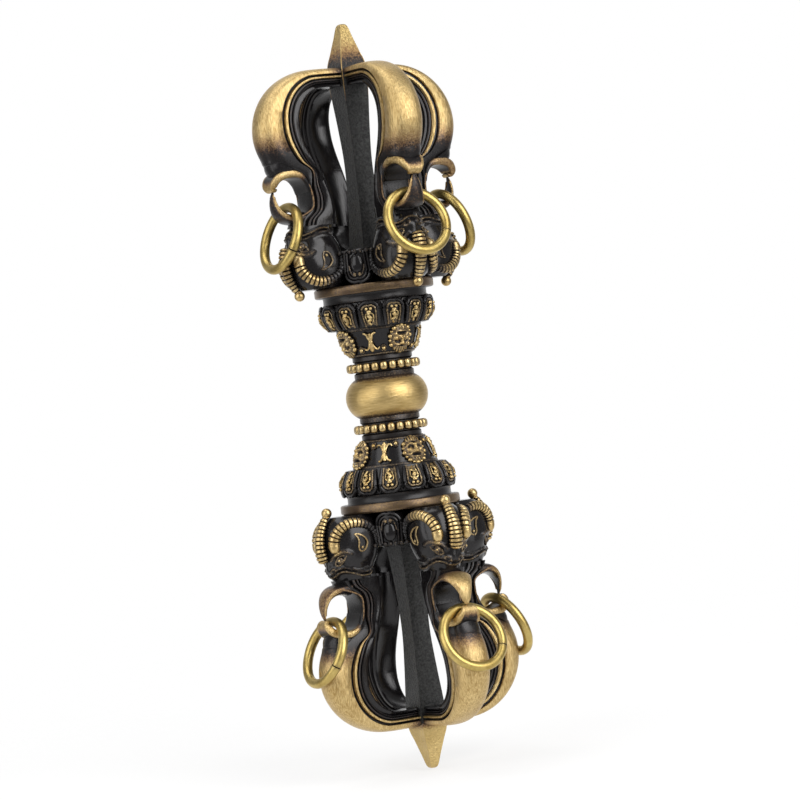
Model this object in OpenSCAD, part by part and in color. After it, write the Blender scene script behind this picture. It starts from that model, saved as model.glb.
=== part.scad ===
// Five-pronged dorje vajra with eight hanging rings.
// Z runs along the axis, the origin is the middle of the hub bead, and both ends mirror each other.
// Every piece of one end is drawn for the upper end, at the prong that points along +X.

/* [Hub] */
// Diameter of the hub bead at its middle
hub_d = 22; // [19:0.5:24]
// Length of the hub bead along the axis
hub_len = 10.4; // [9:0.2:13]
// Diameter of the plain neck on each side of the hub
neck_d = 16; // [14:0.5:17]

/* [Beaded neck ring] */
// Length of one beaded neck
bead_neck_len = 6; // [5:0.2:8]
// Diameter of one bead
bead_d = 2.4; // [1.6:0.1:2.6]
// Number of beads round the neck
bead_count = 24; // [16:1:26]
// How far each bead stands out of the neck
bead_proud = 1.9; // [1.3:0.1:2]

/* [Mask collar] */
// Length of the mask collar
mask_len = 7.4; // [6.8:0.2:9]
// Diameter of the mask collar at its hub end
mask_foot_d = 17.6; // [17:0.2:19]
// Diameter of the mask collar at its lotus end
mask_top_d = 23; // [21:0.5:24]
// Diameter of one lion mask
mask_d = 6.4; // [5:0.2:6.6]
// How far a mask stands out of the collar
mask_proud = 0.7; // [0.4:0.1:1]

/* [Lotus collar] */
// Length of the lotus collar
lotus_len = 7; // [6:0.2:9]
// Diameter of the collar behind the petals
lotus_base_d = 26; // [25:0.5:27]
// Diameter over the petals
lotus_d = 30.6; // [29:0.2:32]
// Number of petals
petal_count = 14; // [12:1:16]
// Width of one petal
petal_w = 5.6; // [4.6:0.1:5.7]
// Width of the raised border of a petal
petal_border = 0.7; // [0.5:0.1:1]

/* [Base plate] */
// Length of the plain neck under the base plate
plate_neck_len = 2.1; // [1.5:0.1:3]
// Diameter of that neck
plate_neck_d = 28.2; // [26:0.2:30]
// Thickness of the base plate
plate_t = 2.5; // [2:0.1:4]
// Diameter of the base plate
plate_d = 32; // [31:0.5:34]

/* [Petal cup] */
// Length of the petal cup
cup_len = 9.3; // [8:0.1:11]
// Width across the flats that the heads sit against
cup_flat = 20; // [19:0.2:21]
// Reach of a cartouche from the axis
cartouche_reach = 16; // [15:0.2:16]
// Width of a cartouche
cartouche_w = 7.4; // [6:0.2:8]

/* [Tie rod] */
// Diameter of the tie rod
rod_d = 4; // [3:0.2:4.4]
// Depth of the rod in each centre prong
rod_engage = 6; // [4:0.5:9]
// Clearance round the rod and round each tenon
fit_gap = 0.1; // [0.05:0.05:0.2]

/* [Makara head] */
// Height of a head from the base plate to its mouth
head_h = 16.8; // [15:0.2:19]
// Reach of the forehead from the axis
brow_reach = 25; // [24:0.2:26]
// Half the width of a head at its ears
ear_half_w = 7.4; // [6.5:0.1:8]
// Thickness of a horn at its root
horn_d = 2.2; // [1.6:0.1:2.6]
// Ribs on one horn
horn_ribs = 6; // [5:1:12]
// How far the crest stands out from the forehead
crest_rise = 2.6; // [2:0.1:2.8]
// Ribs on the crest
crest_ribs = 5; // [4:1:10]
// Diameter of the ball on the crest
crest_ball_d = 2.8; // [2:0.1:3.2]

/* [Outer prong] */
// Height of the cage from the heads' mouths to the crown
cage_h = 41.4; // [38:0.2:46]
// Reach of the belly from the axis
belly_reach = 30.3; // [28:0.1:33]
// Height of the belly above the mouth
belly_h = 25; // [23:0.2:28]
// Half the width of a prong at its belly
belly_half_w = 4.75; // [4:0.05:5.2]
// Half the width of a prong at the crown
crown_half_w = 3.5; // [3:0.05:3.7]
// Half the width of a prong's foot
foot_half_w = 4.2; // [3.6:0.05:4.6]
// Thickness of a prong at the crown
crown_t = 5.2; // [4.4:0.1:6]
// Depth of the smooth outer skin at the crown
crown_skin = 1.6; // [1.2:0.1:2]
// Reach of the inside of the belly from the axis
inner_reach = 18.1; // [17:0.1:19]
// Reach of the inside of the foot from the axis
foot_reach = 10.5; // [10.2:0.1:11]
// Depth of the groove along each flank
groove_depth = 0.9; // [0.5:0.1:1.2]
// Height of the lip that an upper ring hangs on, above the mouth
lip_h = 3.9; // [3.4:0.1:4.4]
// Height of the hook that a lower ring hangs on, above the mouth
hook_h = 12; // [11.4:0.1:13]
// Reach of the middle of the eye from the axis
eye_reach = 23.3; // [22.8:0.1:24]
// Side of the square tenon under the foot
tenon_w = 4; // [3:0.1:5]
// Length of the tenon
tenon_len = 3; // [2:0.1:4]

/* [Centre prong] */
// Half the diagonal of the centre prong at its foot
spike_foot = 5.5; // [4.9:0.05:6]
// Half the diagonal at its waist
spike_waist = 3.85; // [3.4:0.05:4.2]
// Half the width of the square that the prongs close on
crown_flat = 3.75; // [3.7:0.05:4.2]
// Length of the point beyond the crown
tip_len = 11.6; // [9:0.2:15]

/* [Rings] */
// Diameter of a ring at the middle of its wire
ring_d = 17; // [15.5:0.1:18]
// Diameter of the wire
wire_d = 2.6; // [2:0.1:2.6]
// Gap between a ring and what it hangs on
hang_gap = 0.3; // [0.2:0.05:0.4]
// Width of the cut in a ring
ring_cut = 0.25; // [0.1:0.05:0.6]
// Gap between the far side of a ring and the crest or belly that it leans on
rest_gap = 0.3; // [0.2:0.05:1]

/* [Hidden] */
SIDES = ["east", "north", "west", "south"];
UPPER_LOWER = ["upper", "lower"];
END_PIECES = ["bead_ring", "mask_collar", "lotus_collar", "base_plate", "petal_cup", "centre_prong"];
SIDE_PIECES = ["makara", "prong", "ring"];

$fn = 48;
eps = 0.01;

// Heights where the stacked pieces meet, measured from the middle of the hub
neck_z = hub_len / 2;
mask_z = neck_z + bead_neck_len;
lotus_z = mask_z + mask_len;
plate_neck_z = lotus_z + lotus_len;
plate_z = plate_neck_z + plate_neck_len;
cup_z = plate_z + plate_t;
spike_z = cup_z + cup_len;
mouth_z = cup_z + head_h;
crown_z = mouth_z + cage_h;
tip_z = crown_z + tip_len;

mask_slope = atan((mask_top_d - mask_foot_d) / 2 / mask_len);
wire_r = wire_d / 2;

// Reach of the middle of the crest's curve and of the inner curve's radius
crest_r = 12;
inner_r = 8.8;
// Thickness of the smooth skin at the belly
skin_t = 5.9;
// How far the middles of the groove's and inner edge's curves lie above the belly
groove_rise = 1.5;
inner_rise = 2;
// Reach of the middle of the tenon
tenon_r = 14.4;

// How much further out the hook bears than the lip
hook_overhang = 1.6;
// Middle of the wire where a ring hangs: on the lip of the head above, on the hook below
upper_hang = [eye_reach, mouth_z + lip_h + wire_r + hang_gap];
lower_hang = [eye_reach + hook_overhang, -mouth_z - hook_h + wire_r + hang_gap];
// Lean of a ring from the axis: the upper ones rest on the crests, the lower ones on the bellies
crest_reach = brow_reach + crest_rise;
upper_lean = asin((crest_reach + wire_r + rest_gap - upper_hang.x) / ring_d);
lower_lean = asin((belly_reach + wire_r + rest_gap - lower_hang.x) / ring_d);

brass = "#c9a45c";
dark_patina = "#2a2829";
ring_brass = "#c2a03a";

// Small helpers
function unit(v) = v / norm(v);
function mix(a, b, s) = a + (b - a) * s;
function on_ellipse(centre, size, angle) = centre + [size.x * cos(angle), size.y * sin(angle)];
function bezier(p, s) =
    p[0] * pow(1 - s, 3) + p[1] * 3 * s * pow(1 - s, 2)
    + p[2] * 3 * s * s * (1 - s) + p[3] * pow(s, 3);
function mean(points, i = 0) =
    i < len(points) ? points[i] / len(points) + mean(points, i + 1) : [0, 0, 0];

// Smooth curve through a list of points; s runs from 0 to the last point's index
function spline(p, s) =
    let (
        n = len(p) - 1,
        i = min(floor(s), n - 1),
        f = s - i,
        a = p[max(i - 1, 0)],
        b = p[i],
        c = p[i + 1],
        d = p[min(i + 2, n)]
    )
    0.5 * (
        2 * b + (c - a) * f + (2 * a - 5 * b + 4 * c - d) * f * f + (3 * b - a - 3 * c + d) * f * f * f
    );

// Closed skin over rings of points, each ring running anticlockwise about the way the rings advance
module loft(rings) {
    n = len(rings[0]);
    last = len(rings) - 1;
    points = [for (ring = rings) each ring];
    sides = [
        for (j = [0:last - 1], i = [0:n - 1])
            let (a = j * n + i, b = j * n + (i + 1) % n)
            each [[a, a + n, b], [b, a + n, b + n]]
    ];
    ends = [
        for (i = [0:n - 1])
            let (k = (i + 1) % n)
            each [[len(points), i, k], [len(points) + 1, last * n + k, last * n + i]]
    ];
    polyhedron(concat(points, [mean(rings[0]), mean(rings[last])]), concat(sides, ends));
}

// Ribbed tube along a curve: radii is the first and last radius, flat its width against its height
module ribbed_tube(path, radii, ribs, sides, flat = 1, rib_height = 0.2) {
    steps = 2 * ribs;
    span = len(path) - 1;
    loft([
        for (j = [0:steps])
            let (
                s = span * j / steps,
                here = spline(path, s),
                ahead = unit(spline(path, min(s + 0.05, span)) - spline(path, max(s - 0.05, 0))),
                across = unit([0, 1, 0] - ahead * ahead.y),
                up = cross(ahead, across),
                r = mix(radii[0], radii[1], j / steps) * (j % 2 == 0 ? 1 - rib_height : 1)
            )
            [
                for (k = [0:sides - 1])
                    let (a = 360 * k / sides)
                    here + r * (flat * cos(a) * across + sin(a) * up)
            ]
    ]);
}

// Places its children at one of the four sides of one end
module at_side(e, s) {
    mirror([0, 0, e]) rotate([0, 0, 90 * s]) children();
}

// Bore on the axis for the tie rod
module rod_bore(z_low, z_high) {
    translate([0, 0, z_low - 1]) cylinder(d = rod_d + 2 * fit_gap, h = z_high - z_low + 2);
}

// Outline of a petal or cartouche: straight sides and one round end at the top
module round_end(w, h) {
    translate([-w / 2, 0]) square([w, h - w / 2]);
    translate([0, h - w / 2]) circle(d = w);
}

// Block with that outline, standing on a height, between two reaches along +X
module radial_petal(w, h, z_root, reach_in, reach_out) {
    translate([reach_in, 0, z_root]) rotate([90, 0, 90])
        linear_extrude(reach_out - reach_in) round_end(w, h);
}

// Barrel-sided bead that the hand closes round
module hub_bead() {
    sag = (hub_d - neck_d) / 2;
    bulge_r = (sag * sag + neck_z * neck_z) / (2 * sag);
    color(brass) difference() {
        rotate_extrude() intersection() {
            translate([0, -neck_z]) square([hub_d, hub_len]);
            union() {
                translate([0, -neck_z]) square([hub_d / 2 - bulge_r, hub_len]);
                translate([hub_d / 2 - bulge_r, 0]) circle(bulge_r, $fn = 96);
            }
        }
        rod_bore(-neck_z, neck_z);
    }
}

// Rod on the axis that draws both ends together
module tie_rod() {
    half = spike_z + rod_engage;
    color(brass) translate([0, 0, -half]) cylinder(d = rod_d, h = 2 * half);
}

// Plain neck with a row of beads round its middle
module bead_ring() {
    middle = neck_z + bead_neck_len / 2;
    color(brass) difference() {
        union() {
            translate([0, 0, neck_z]) cylinder(d = neck_d, h = bead_neck_len);
            for (i = [0:bead_count - 1])
                rotate([0, 0, 360 * i / bead_count])
                    translate([neck_d / 2 + bead_proud - bead_d / 2, 0, middle]) sphere(d = bead_d);
        }
        rod_bore(neck_z, mask_z);
    }
}

// Lion mask on the sloping collar: mane disc, ears, eyes, muzzle and a beard of curls
module lion_mask() {
    r = mask_d / 2;
    translate([(mask_foot_d + mask_top_d) / 4, 0, mask_z + mask_len / 2]) rotate([0, 90 + mask_slope, 0]) {
        translate([0, 0, -1]) cylinder(r = r, h = 1 + mask_proud);
        for (side = [-1, 1]) {
            translate([0.55 * r, side * 0.72 * r, mask_proud - 0.2]) sphere(0.25 * r);
            translate([0.2 * r, side * 0.34 * r, mask_proud - 0.1]) sphere(0.2 * r);
        }
        translate([-0.25 * r, 0, mask_proud - 0.25]) sphere(0.36 * r);
        for (a = [-60:30:60])
            translate([-0.78 * r * cos(a), 0.78 * r * sin(a), mask_proud - 0.1]) sphere(0.19 * r);
    }
}

// Small vajra ornament and two studs, between two masks
module collar_ornament() {
    r_mid = (mask_foot_d + mask_top_d) / 4;
    stud_r = 0.6;
    translate([r_mid, 0, mask_z + mask_len / 2]) rotate([0, 90 + mask_slope, 0]) {
        translate([0, 0, 0.1]) sphere(0.85);
        for (end = [-1, 1], side = [-1, 1])
            translate([0, 0, 0.2]) rotate([0, 0, 90 - end * 90 + side * 22])
                rotate([0, 90, 0]) cylinder(r = 0.4, h = mask_len * 0.33);
    }
    for (side = [-1, 1])
        rotate([0, 0, side * 19]) translate([mask_foot_d / 2 + 0.3, 0, mask_z + 1.3]) sphere(stud_r);
}

// Flared collar with four masks under the prongs and ornaments between them
module mask_collar() {
    color(dark_patina) difference() {
        union() {
            translate([0, 0, mask_z]) cylinder(d1 = mask_foot_d, d2 = mask_top_d, h = mask_len);
            for (s = [0:3]) {
                intersection() {
                    rotate([0, 0, 90 * s]) lion_mask();
                    translate([0, 0, mask_z]) cylinder(d = 2 * mask_top_d, h = mask_len);
                }
                rotate([0, 0, 90 * s + 45]) collar_ornament();
            }
        }
        rod_bore(mask_z, lotus_z);
    }
}

// One U-shaped petal that leans out: a raised border round a sunken panel
module lotus_petal() {
    root_r = lotus_base_d / 2 + 0.8;
    depth = 2.7;
    panel_sink = 0.6;
    lean = atan((lotus_d / 2 - root_r) / lotus_len);
    h = (lotus_len - 0.1 - depth * sin(lean)) / cos(lean);
    translate([root_r, 0, lotus_z]) rotate([0, lean, 0]) difference() {
        radial_petal(petal_w, h, 0, -depth, 0);
        radial_petal(petal_w - 2 * petal_border, h - petal_border, -1, -panel_sink, 1);
    }
}

// Collar of lotus petals
module lotus_collar() {
    color(dark_patina) difference() {
        union() {
            translate([0, 0, lotus_z]) cylinder(d = lotus_base_d, h = lotus_len);
            for (i = [0:petal_count - 1]) rotate([0, 0, 360 * i / petal_count]) lotus_petal();
        }
        rod_bore(lotus_z, plate_neck_z);
    }
}

// Disc with a softly rounded rim, on its own short neck
module base_plate() {
    rim_r = 0.6;
    color(brass) difference() {
        union() {
            translate([0, 0, plate_neck_z]) cylinder(d = plate_neck_d, h = plate_neck_len + eps);
            translate([0, 0, plate_z]) rotate_extrude() union() {
                square([plate_d / 2 - rim_r, plate_t]);
                translate([0, rim_r]) square([plate_d / 2, plate_t - 2 * rim_r]);
                for (z = [rim_r, plate_t - rim_r]) translate([plate_d / 2 - rim_r, z]) circle(rim_r);
            }
        }
        rod_bore(plate_neck_z, cup_z);
    }
}

// Lotus cartouche between two heads, with its two dots and a row of beads along its top
module cartouche() {
    bead = 1.5;
    bead_step = 1.9;
    front = cartouche_reach;
    rotate([0, 0, 45]) {
        intersection() {
            translate([0, 0, cup_z]) cylinder(r = front, h = cup_len);
            translate([0, 0, spike_z]) mirror([0, 0, 1])
                radial_petal(cartouche_w, cup_len, 0, cup_flat / 2 - 2, 2 * front);
        }
        for (side = [-1, 1])
            translate([front - 0.2, side * 0.8, cup_z + 0.32 * cup_len]) sphere(0.7);
        for (i = [-1.5:1:1.5])
            translate([front - 0.35, i * bead_step, spike_z - bead / 2 - 0.1]) sphere(d = bead);
    }
}

// Square seat that carries the four heads and the centre prong
module petal_cup() {
    color(dark_patina) difference() {
        union() {
            translate([-cup_flat / 2, -cup_flat / 2, cup_z]) cube([cup_flat, cup_flat, cup_len]);
            for (s = [0:3]) rotate([0, 0, 90 * s]) cartouche();
        }
        rod_bore(cup_z, spike_z);
    }
}

// Square, waisted spike with slightly hollow faces, flat where the prongs close on it
module centre_prong() {
    corner = crown_flat * sqrt(2);
    free_h = crown_z - crown_t - spike_z;
    // Height, half diagonal, and how full the faces are
    stations = [
        [spike_z, spike_foot, 1],
        [spike_z + 0.12 * free_h, mix(spike_foot, spike_waist, 0.4), 0.93],
        [spike_z + 0.3 * free_h, mix(spike_foot, spike_waist, 0.82), 0.9],
        [spike_z + 0.54 * free_h, spike_waist, 0.9],
        [spike_z + 0.76 * free_h, mix(spike_waist, corner, 0.4), 0.9],
        [spike_z + free_h - 0.3, corner, 1],
        [crown_z + 0.3, corner, 1],
        [crown_z + 0.35 * tip_len, 0.76 * corner, 0.95],
        [crown_z + 0.68 * tip_len, 0.5 * corner, 0.95],
        [crown_z + 0.9 * tip_len, 0.34 * corner, 1],
        [tip_z - 0.3, 0.24 * corner, 1],
        [tip_z, 0.12 * corner, 1]
    ];
    color(dark_patina) difference() {
        loft([
            for (p = stations)
                [
                    for (k = [0:7])
                        let (r = k % 2 == 0 ? p[1] * sqrt(0.5) * p[2] : p[1])
                        [r * cos(45 * k), r * sin(45 * k), p[0]]
                ]
        ]);
        rod_bore(spike_z, spike_z + rod_engage - 0.8);
    }
}

// One level of a head: front reach, half widths at brow, ear and back, and its height
function head_ring(front, brow, ear, back, z) =
    let (
        seat = cup_flat / 2,
        ear_r = mix(seat, front, 0.6),
        half = [
            [front, 0.35 * brow], [front - 1.4, brow], [ear_r, ear],
            [seat + 3.2, mix(back, ear, 0.8)], [seat, back]
        ]
    )
    [
        for (p = half) [p.x, p.y, z],
        for (i = [len(half) - 1:-1:0]) [half[i].x, -half[i].y, z]
    ];

// Ram-horned makara head: skull, two ribbed horns, ribbed crest with its ball, ears, eyes and lips
module makara() {
    seat = cup_flat / 2;
    back = min(foot_half_w, seat - cartouche_w / sqrt(2) - 0.3);
    ear_z = cup_z + 0.41 * head_h;
    eye_z = cup_z + 0.7 * head_h;
    horn_path = [
        [mix(seat, brow_reach, 0.96), ear_half_w - 2.5, cup_z + 0.58 * head_h],
        [mix(seat, brow_reach, 0.973), ear_half_w - 2.1, cup_z + 0.28 * head_h],
        [mix(seat, brow_reach, 0.827), ear_half_w - 1.6, cup_z + 0.1 * head_h],
        [mix(seat, brow_reach, 0.6), ear_half_w - 0.7, cup_z + 0.07 * head_h],
        [mix(seat, brow_reach, 0.4), ear_half_w, cup_z + 0.18 * head_h],
        [mix(seat, brow_reach, 0.333), ear_half_w, cup_z + 0.36 * head_h],
        [mix(seat, brow_reach, 0.387), ear_half_w - 0.2, cup_z + 0.5 * head_h]
    ];
    crest_path = [
        [crest_reach - 4.6, 0, cup_z - 1.2],
        [crest_reach - 3, 0, cup_z + 0.1 * head_h],
        [crest_reach - 1.7, 0, cup_z + 0.3 * head_h],
        [crest_reach - 1.5, 0, cup_z + 0.5 * head_h],
        [crest_reach - 2.1, 0, cup_z + 0.68 * head_h]
    ];
    color(dark_patina) difference() {
        union() {
            loft([
                head_ring(brow_reach - 4.2, 2.6, ear_half_w - 2.4, back, cup_z),
                head_ring(brow_reach - 1.8, 3.6, ear_half_w - 1.1, back, cup_z + 0.1 * head_h),
                head_ring(brow_reach - 0.6, 4.4, ear_half_w - 0.3, back, cup_z + 0.28 * head_h),
                head_ring(brow_reach, 4.6, ear_half_w - 0.3, back, cup_z + 0.45 * head_h),
                head_ring(brow_reach - 0.5, 4.4, ear_half_w - 0.8, back, cup_z + 0.62 * head_h),
                head_ring(brow_reach - 1.8, 4, ear_half_w - 1.9, back, cup_z + 0.78 * head_h),
                head_ring(brow_reach - 2.3, 4, ear_half_w - 2.5, back, cup_z + 0.9 * head_h),
                head_ring(brow_reach - 1.6, 4.2, ear_half_w - 2.4, back, mouth_z)
            ]);
            ribbed_tube(crest_path, [1, 1.5], crest_ribs, 5, 1.25);
            translate([crest_path[0].x, 0, crest_path[0].z]) sphere(d = crest_ball_d, $fn = 7);
            for (side = [-1, 1]) mirror([0, side < 0 ? 1 : 0, 0]) {
                ribbed_tube(horn_path, [horn_d / 2, horn_d / 3], horn_ribs, 5);
                // Leaf-shaped ear inside the curl of the horn
                hull() {
                    translate([brow_reach - 5.6, ear_half_w - 0.4, ear_z + 1.6]) sphere(1.3, $fn = 6);
                    translate([brow_reach - 4.6, ear_half_w - 0.7, ear_z - 2.2]) sphere(0.4, $fn = 4);
                }
                // Eye under a heavy brow
                hull() {
                    translate([brow_reach - 1.6, 3.4, eye_z]) sphere(0.8, $fn = 4);
                    translate([brow_reach - 2.8, 4.2, eye_z]) sphere(0.8, $fn = 4);
                }
                hull() {
                    translate([brow_reach - 1, 2.6, eye_z - 1.2]) sphere(0.6, $fn = 4);
                    translate([brow_reach - 3.8, 5, eye_z - 1.4]) sphere(0.6, $fn = 4);
                }
                // Upper lip
                hull() {
                    translate([brow_reach - 2.2, 2.6, mouth_z - 1.5]) sphere(0.7, $fn = 4);
                    translate([brow_reach - 6, 4.6, mouth_z - 0.9]) sphere(0.7, $fn = 4);
                }
            }
        }
        translate([tenon_r - tenon_w / 2 - fit_gap, -tenon_w / 2 - fit_gap, mouth_z - tenon_len - fit_gap])
            cube([tenon_w + 2 * fit_gap, tenon_w + 2 * fit_gap, tenon_len + head_h]);
    }
}

// The three lines that a prong is swept along, in reach and height above the mouth:
// the crest of its skin, the groove where the skin ends, and its inner edge
function crest_line(a) = on_ellipse([crest_r, belly_h], [belly_reach - crest_r, cage_h - belly_h], a);
function groove_line(a) =
    on_ellipse(
        [crest_r, belly_h + groove_rise],
        [belly_reach - skin_t - crest_r, cage_h - crown_skin - belly_h - groove_rise], a
    );
function inner_line(a) =
    on_ellipse(
        [inner_reach - inner_r, belly_h + inner_rise], [inner_r, cage_h - crown_t - belly_h - inner_rise], a
    );
function inner_sweep(s) =
    bezier([
        [inner_reach, belly_h + inner_rise], [inner_reach, belly_h - 6],
        [foot_reach, 0.5 * belly_h], [foot_reach, 0]
    ], s);

// One cross-section of a prong, anticlockwise seen from above the foot
function prong_ring(crest, groove, inner, half_w, inner_half_w) =
    let (
        depth = norm(inner - groove),
        down = function (mm) mix(groove, inner, min(mm / depth, 0.9)),
        half = concat(
            [for (a = [0, 35, 65]) [each mix(groove, crest, cos(a)), half_w * sin(a)]],
            [
                [each groove, half_w],
                [each down(0.6), half_w - groove_depth],
                [each down(1.2), half_w - 0.15],
                [each down(2.3), half_w - 0.3],
                [each down(2.6), half_w - groove_depth],
                [each inner, inner_half_w],
                [each mix(inner, groove, 0.08), 0]
            ]
        ),
        n = len(half) - 1
    )
    [
        for (i = [0:n]) [half[i].x, half[i].z, half[i].y],
        for (i = [n - 1:-1:1]) [half[i].x, -half[i].z, half[i].y]
    ];

// One cross-section of the eye's arm or hook: the side towards the hole is crowned for the ring
function eye_ring(hole, outer, half_w) =
    let (
        crown = 2 * pow(half_w / 4.4, 2),
        edge = hole + unit(outer - hole) * min(crown, 0.6 * norm(outer - hole)),
        rim = mix(outer, hole, 0.15)
    )
    [
        [outer.x, 0, outer.y], [rim.x, 0.85 * half_w, rim.y], [edge.x, half_w, edge.y],
        [hole.x, 0, hole.y], [edge.x, -half_w, edge.y], [rim.x, -0.85 * half_w, rim.y]
    ];

// Bowed prong with its eye: the bar, the arm that rises from the lip, and the hook that meets it
module prong() {
    eye_back = inner_reach - 0.2;
    eye_front = eye_reach + 3.9;
    eye_mid = (lip_h + hook_h) / 2;
    inner_half_w = 3.3;
    crown_inner_w = crown_half_w - 0.8;
    arm_half_w = foot_half_w - 0.2;
    foot = function (crest, groove, s) prong_ring(crest, groove, inner_sweep(s), foot_half_w, inner_half_w);
    belly = function (crest_a, groove_a, s, half_w)
        prong_ring(crest_line(crest_a), groove_line(groove_a), inner_sweep(s), half_w, inner_half_w);
    bar = [
        foot([eye_back + 4.6, 0], [eye_back + 3.4, 0], 1),
        foot([eye_back + 3.4, 0.6 * lip_h], [eye_back + 2.6, 0.45 * lip_h], 0.95),
        foot([eye_back + 0.9, lip_h + 0.7], [eye_back + 0.2, lip_h], 0.88),
        foot([eye_back, eye_mid - 0.8], [eye_back - 0.5, eye_mid - 1], 0.78),
        foot([eye_back + 0.3, hook_h - 2], [eye_back - 0.3, hook_h - 1.8], 0.66),
        foot([eye_back + 2.4, hook_h + 1], groove_line(-65), 0.54),
        belly(-32, -46, 0.42, mix(foot_half_w, belly_half_w, 0.5)),
        belly(-24, -30, 0.28, belly_half_w),
        belly(-12, -15, 0.14, belly_half_w),
        for (a = [0:18:90])
            prong_ring(
                crest_line(a), groove_line(a), inner_line(a),
                mix(belly_half_w, crown_half_w, a / 90), mix(inner_half_w, crown_inner_w, a / 90)
            ),
        prong_ring(
            [crown_flat, cage_h], [crown_flat, cage_h - crown_skin], [crown_flat, cage_h - crown_t],
            crown_half_w, crown_inner_w
        )
    ];
    arm = [
        eye_ring([eye_back + 2, lip_h + 0.3], [eye_back + 2, 0.4], arm_half_w),
        eye_ring([eye_back + 4.6, lip_h - 0.15], [eye_back + 5.6, 0.3], arm_half_w),
        eye_ring([eye_front - 2.6, lip_h + 0.2], [eye_front - 1, 1.3], 0.92 * arm_half_w),
        eye_ring([eye_front - 1, lip_h + 1.3], [eye_front + 0.7, 3.4], 0.75 * arm_half_w),
        eye_ring([eye_front - 0.1, eye_mid - 1.1], [eye_front + 1.4, eye_mid - 2], 0.57 * arm_half_w),
        eye_ring([eye_front, eye_mid + 0.8], [eye_front + 1.3, eye_mid + 0.6], 0.42 * arm_half_w),
        eye_ring([eye_front - 0.3, hook_h - 1.4], [eye_front + 0.8, hook_h - 1.4], 0.32 * arm_half_w)
    ];
    hook = [
        eye_ring([eye_front - 0.5, hook_h - 1.9], [eye_front + 0.9, hook_h - 2.1], 0.37 * arm_half_w),
        eye_ring([eye_front - 0.5, hook_h - 0.6], [eye_front + 1.8, hook_h - 0.4], 0.57 * arm_half_w),
        eye_ring([eye_front - 1.4, hook_h - 0.1], [eye_front + 1.7, hook_h + 2.2], 0.8 * arm_half_w),
        eye_ring([eye_front - 3.4, hook_h + 0.2], [eye_front + 0.4, hook_h + 4.4], arm_half_w),
        eye_ring([eye_front - 6, hook_h + 1.2], [eye_front - 3.6, hook_h + 6], arm_half_w)
    ];
    color(brass) translate([0, 0, mouth_z]) {
        loft(bar);
        loft(arm);
        loft(hook);
        translate([tenon_r - tenon_w / 2, -tenon_w / 2, -tenon_len]) cube([tenon_w, tenon_w, tenon_len + 1]);
    }
}

// Split wire ring, hanging from a point with its lower end leaning out from the axis
module ring(hang, lean, side) {
    cut_angle = 2 * asin(ring_cut / ring_d);
    cut_place_angle = 65;
    color(ring_brass) rotate([0, 0, 90 * side])
        translate([hang.x + ring_d / 2 * sin(lean), 0, hang.y - ring_d / 2 * cos(lean)])
            rotate([0, 90 - lean, 0]) rotate([0, 0, cut_place_angle])
                rotate_extrude(angle = 360 - cut_angle, $fn = 96) translate([ring_d / 2, 0]) circle(wire_r);
}

// Draws one piece of one end
module end_piece(name) {
    if (name == "bead_ring") bead_ring();
    if (name == "mask_collar") mask_collar();
    if (name == "lotus_collar") lotus_collar();
    if (name == "base_plate") base_plate();
    if (name == "petal_cup") petal_cup();
    if (name == "centre_prong") centre_prong();
}

hub_bead();
tie_rod();
for (e = [0:1]) {
    for (p = END_PIECES)
        mirror([0, 0, e]) end_piece(p);
    for (s = [0:3]) {
        at_side(e, s) makara();
        at_side(e, s) prong();
        ring(e == 0 ? upper_hang : lower_hang, e == 0 ? upper_lean : lower_lean, s);
    }
}
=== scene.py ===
"""Dorje vajra: the looks of the part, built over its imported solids.

Lengths are in millimetres until a mesh is made. Every carved piece is drawn once, for the upper end and
the prong that points along +X, and then turned and mirrored to its other places.
"""

import math

import bpy
import numpy as np
from mathutils import Matrix, Vector


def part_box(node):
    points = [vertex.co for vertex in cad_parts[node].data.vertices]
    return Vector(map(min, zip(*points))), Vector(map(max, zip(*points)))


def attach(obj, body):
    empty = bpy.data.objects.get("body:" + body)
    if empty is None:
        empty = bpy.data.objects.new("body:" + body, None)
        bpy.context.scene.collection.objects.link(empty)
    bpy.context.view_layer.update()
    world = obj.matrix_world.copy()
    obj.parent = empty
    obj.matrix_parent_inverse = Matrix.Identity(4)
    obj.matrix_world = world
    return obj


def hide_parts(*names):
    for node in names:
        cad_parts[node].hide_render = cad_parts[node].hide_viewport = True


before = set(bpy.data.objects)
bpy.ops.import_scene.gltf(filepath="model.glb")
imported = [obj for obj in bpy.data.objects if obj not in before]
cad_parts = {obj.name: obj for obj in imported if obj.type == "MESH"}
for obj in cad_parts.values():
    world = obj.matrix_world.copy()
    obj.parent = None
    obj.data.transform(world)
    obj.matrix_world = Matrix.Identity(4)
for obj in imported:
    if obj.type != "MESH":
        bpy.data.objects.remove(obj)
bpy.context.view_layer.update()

MM = 0.001
SIDES = ("east", "north", "west", "south")
ENDS = ("upper", "lower")


def top_of(node):
    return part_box(node)[1].z / MM


# Heights where the stacked pieces meet, from the middle of the hub
NECK_Z = top_of("hub_bead")
MASK_Z = top_of("upper_bead_ring")
LOTUS_Z = top_of("upper_mask_collar")
PLATE_NECK_Z = top_of("upper_lotus_collar")
CUP_Z = top_of("upper_base_plate")
SPIKE_Z = top_of("upper_petal_cup")
MOUTH_Z = top_of("upper_makara_east")
CROWN_Z = top_of("upper_prong_east")
TIP_Z = top_of("upper_centre_prong")
CAGE_H = CROWN_Z - MOUTH_Z
HEAD_H = MOUTH_Z - CUP_Z

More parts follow.
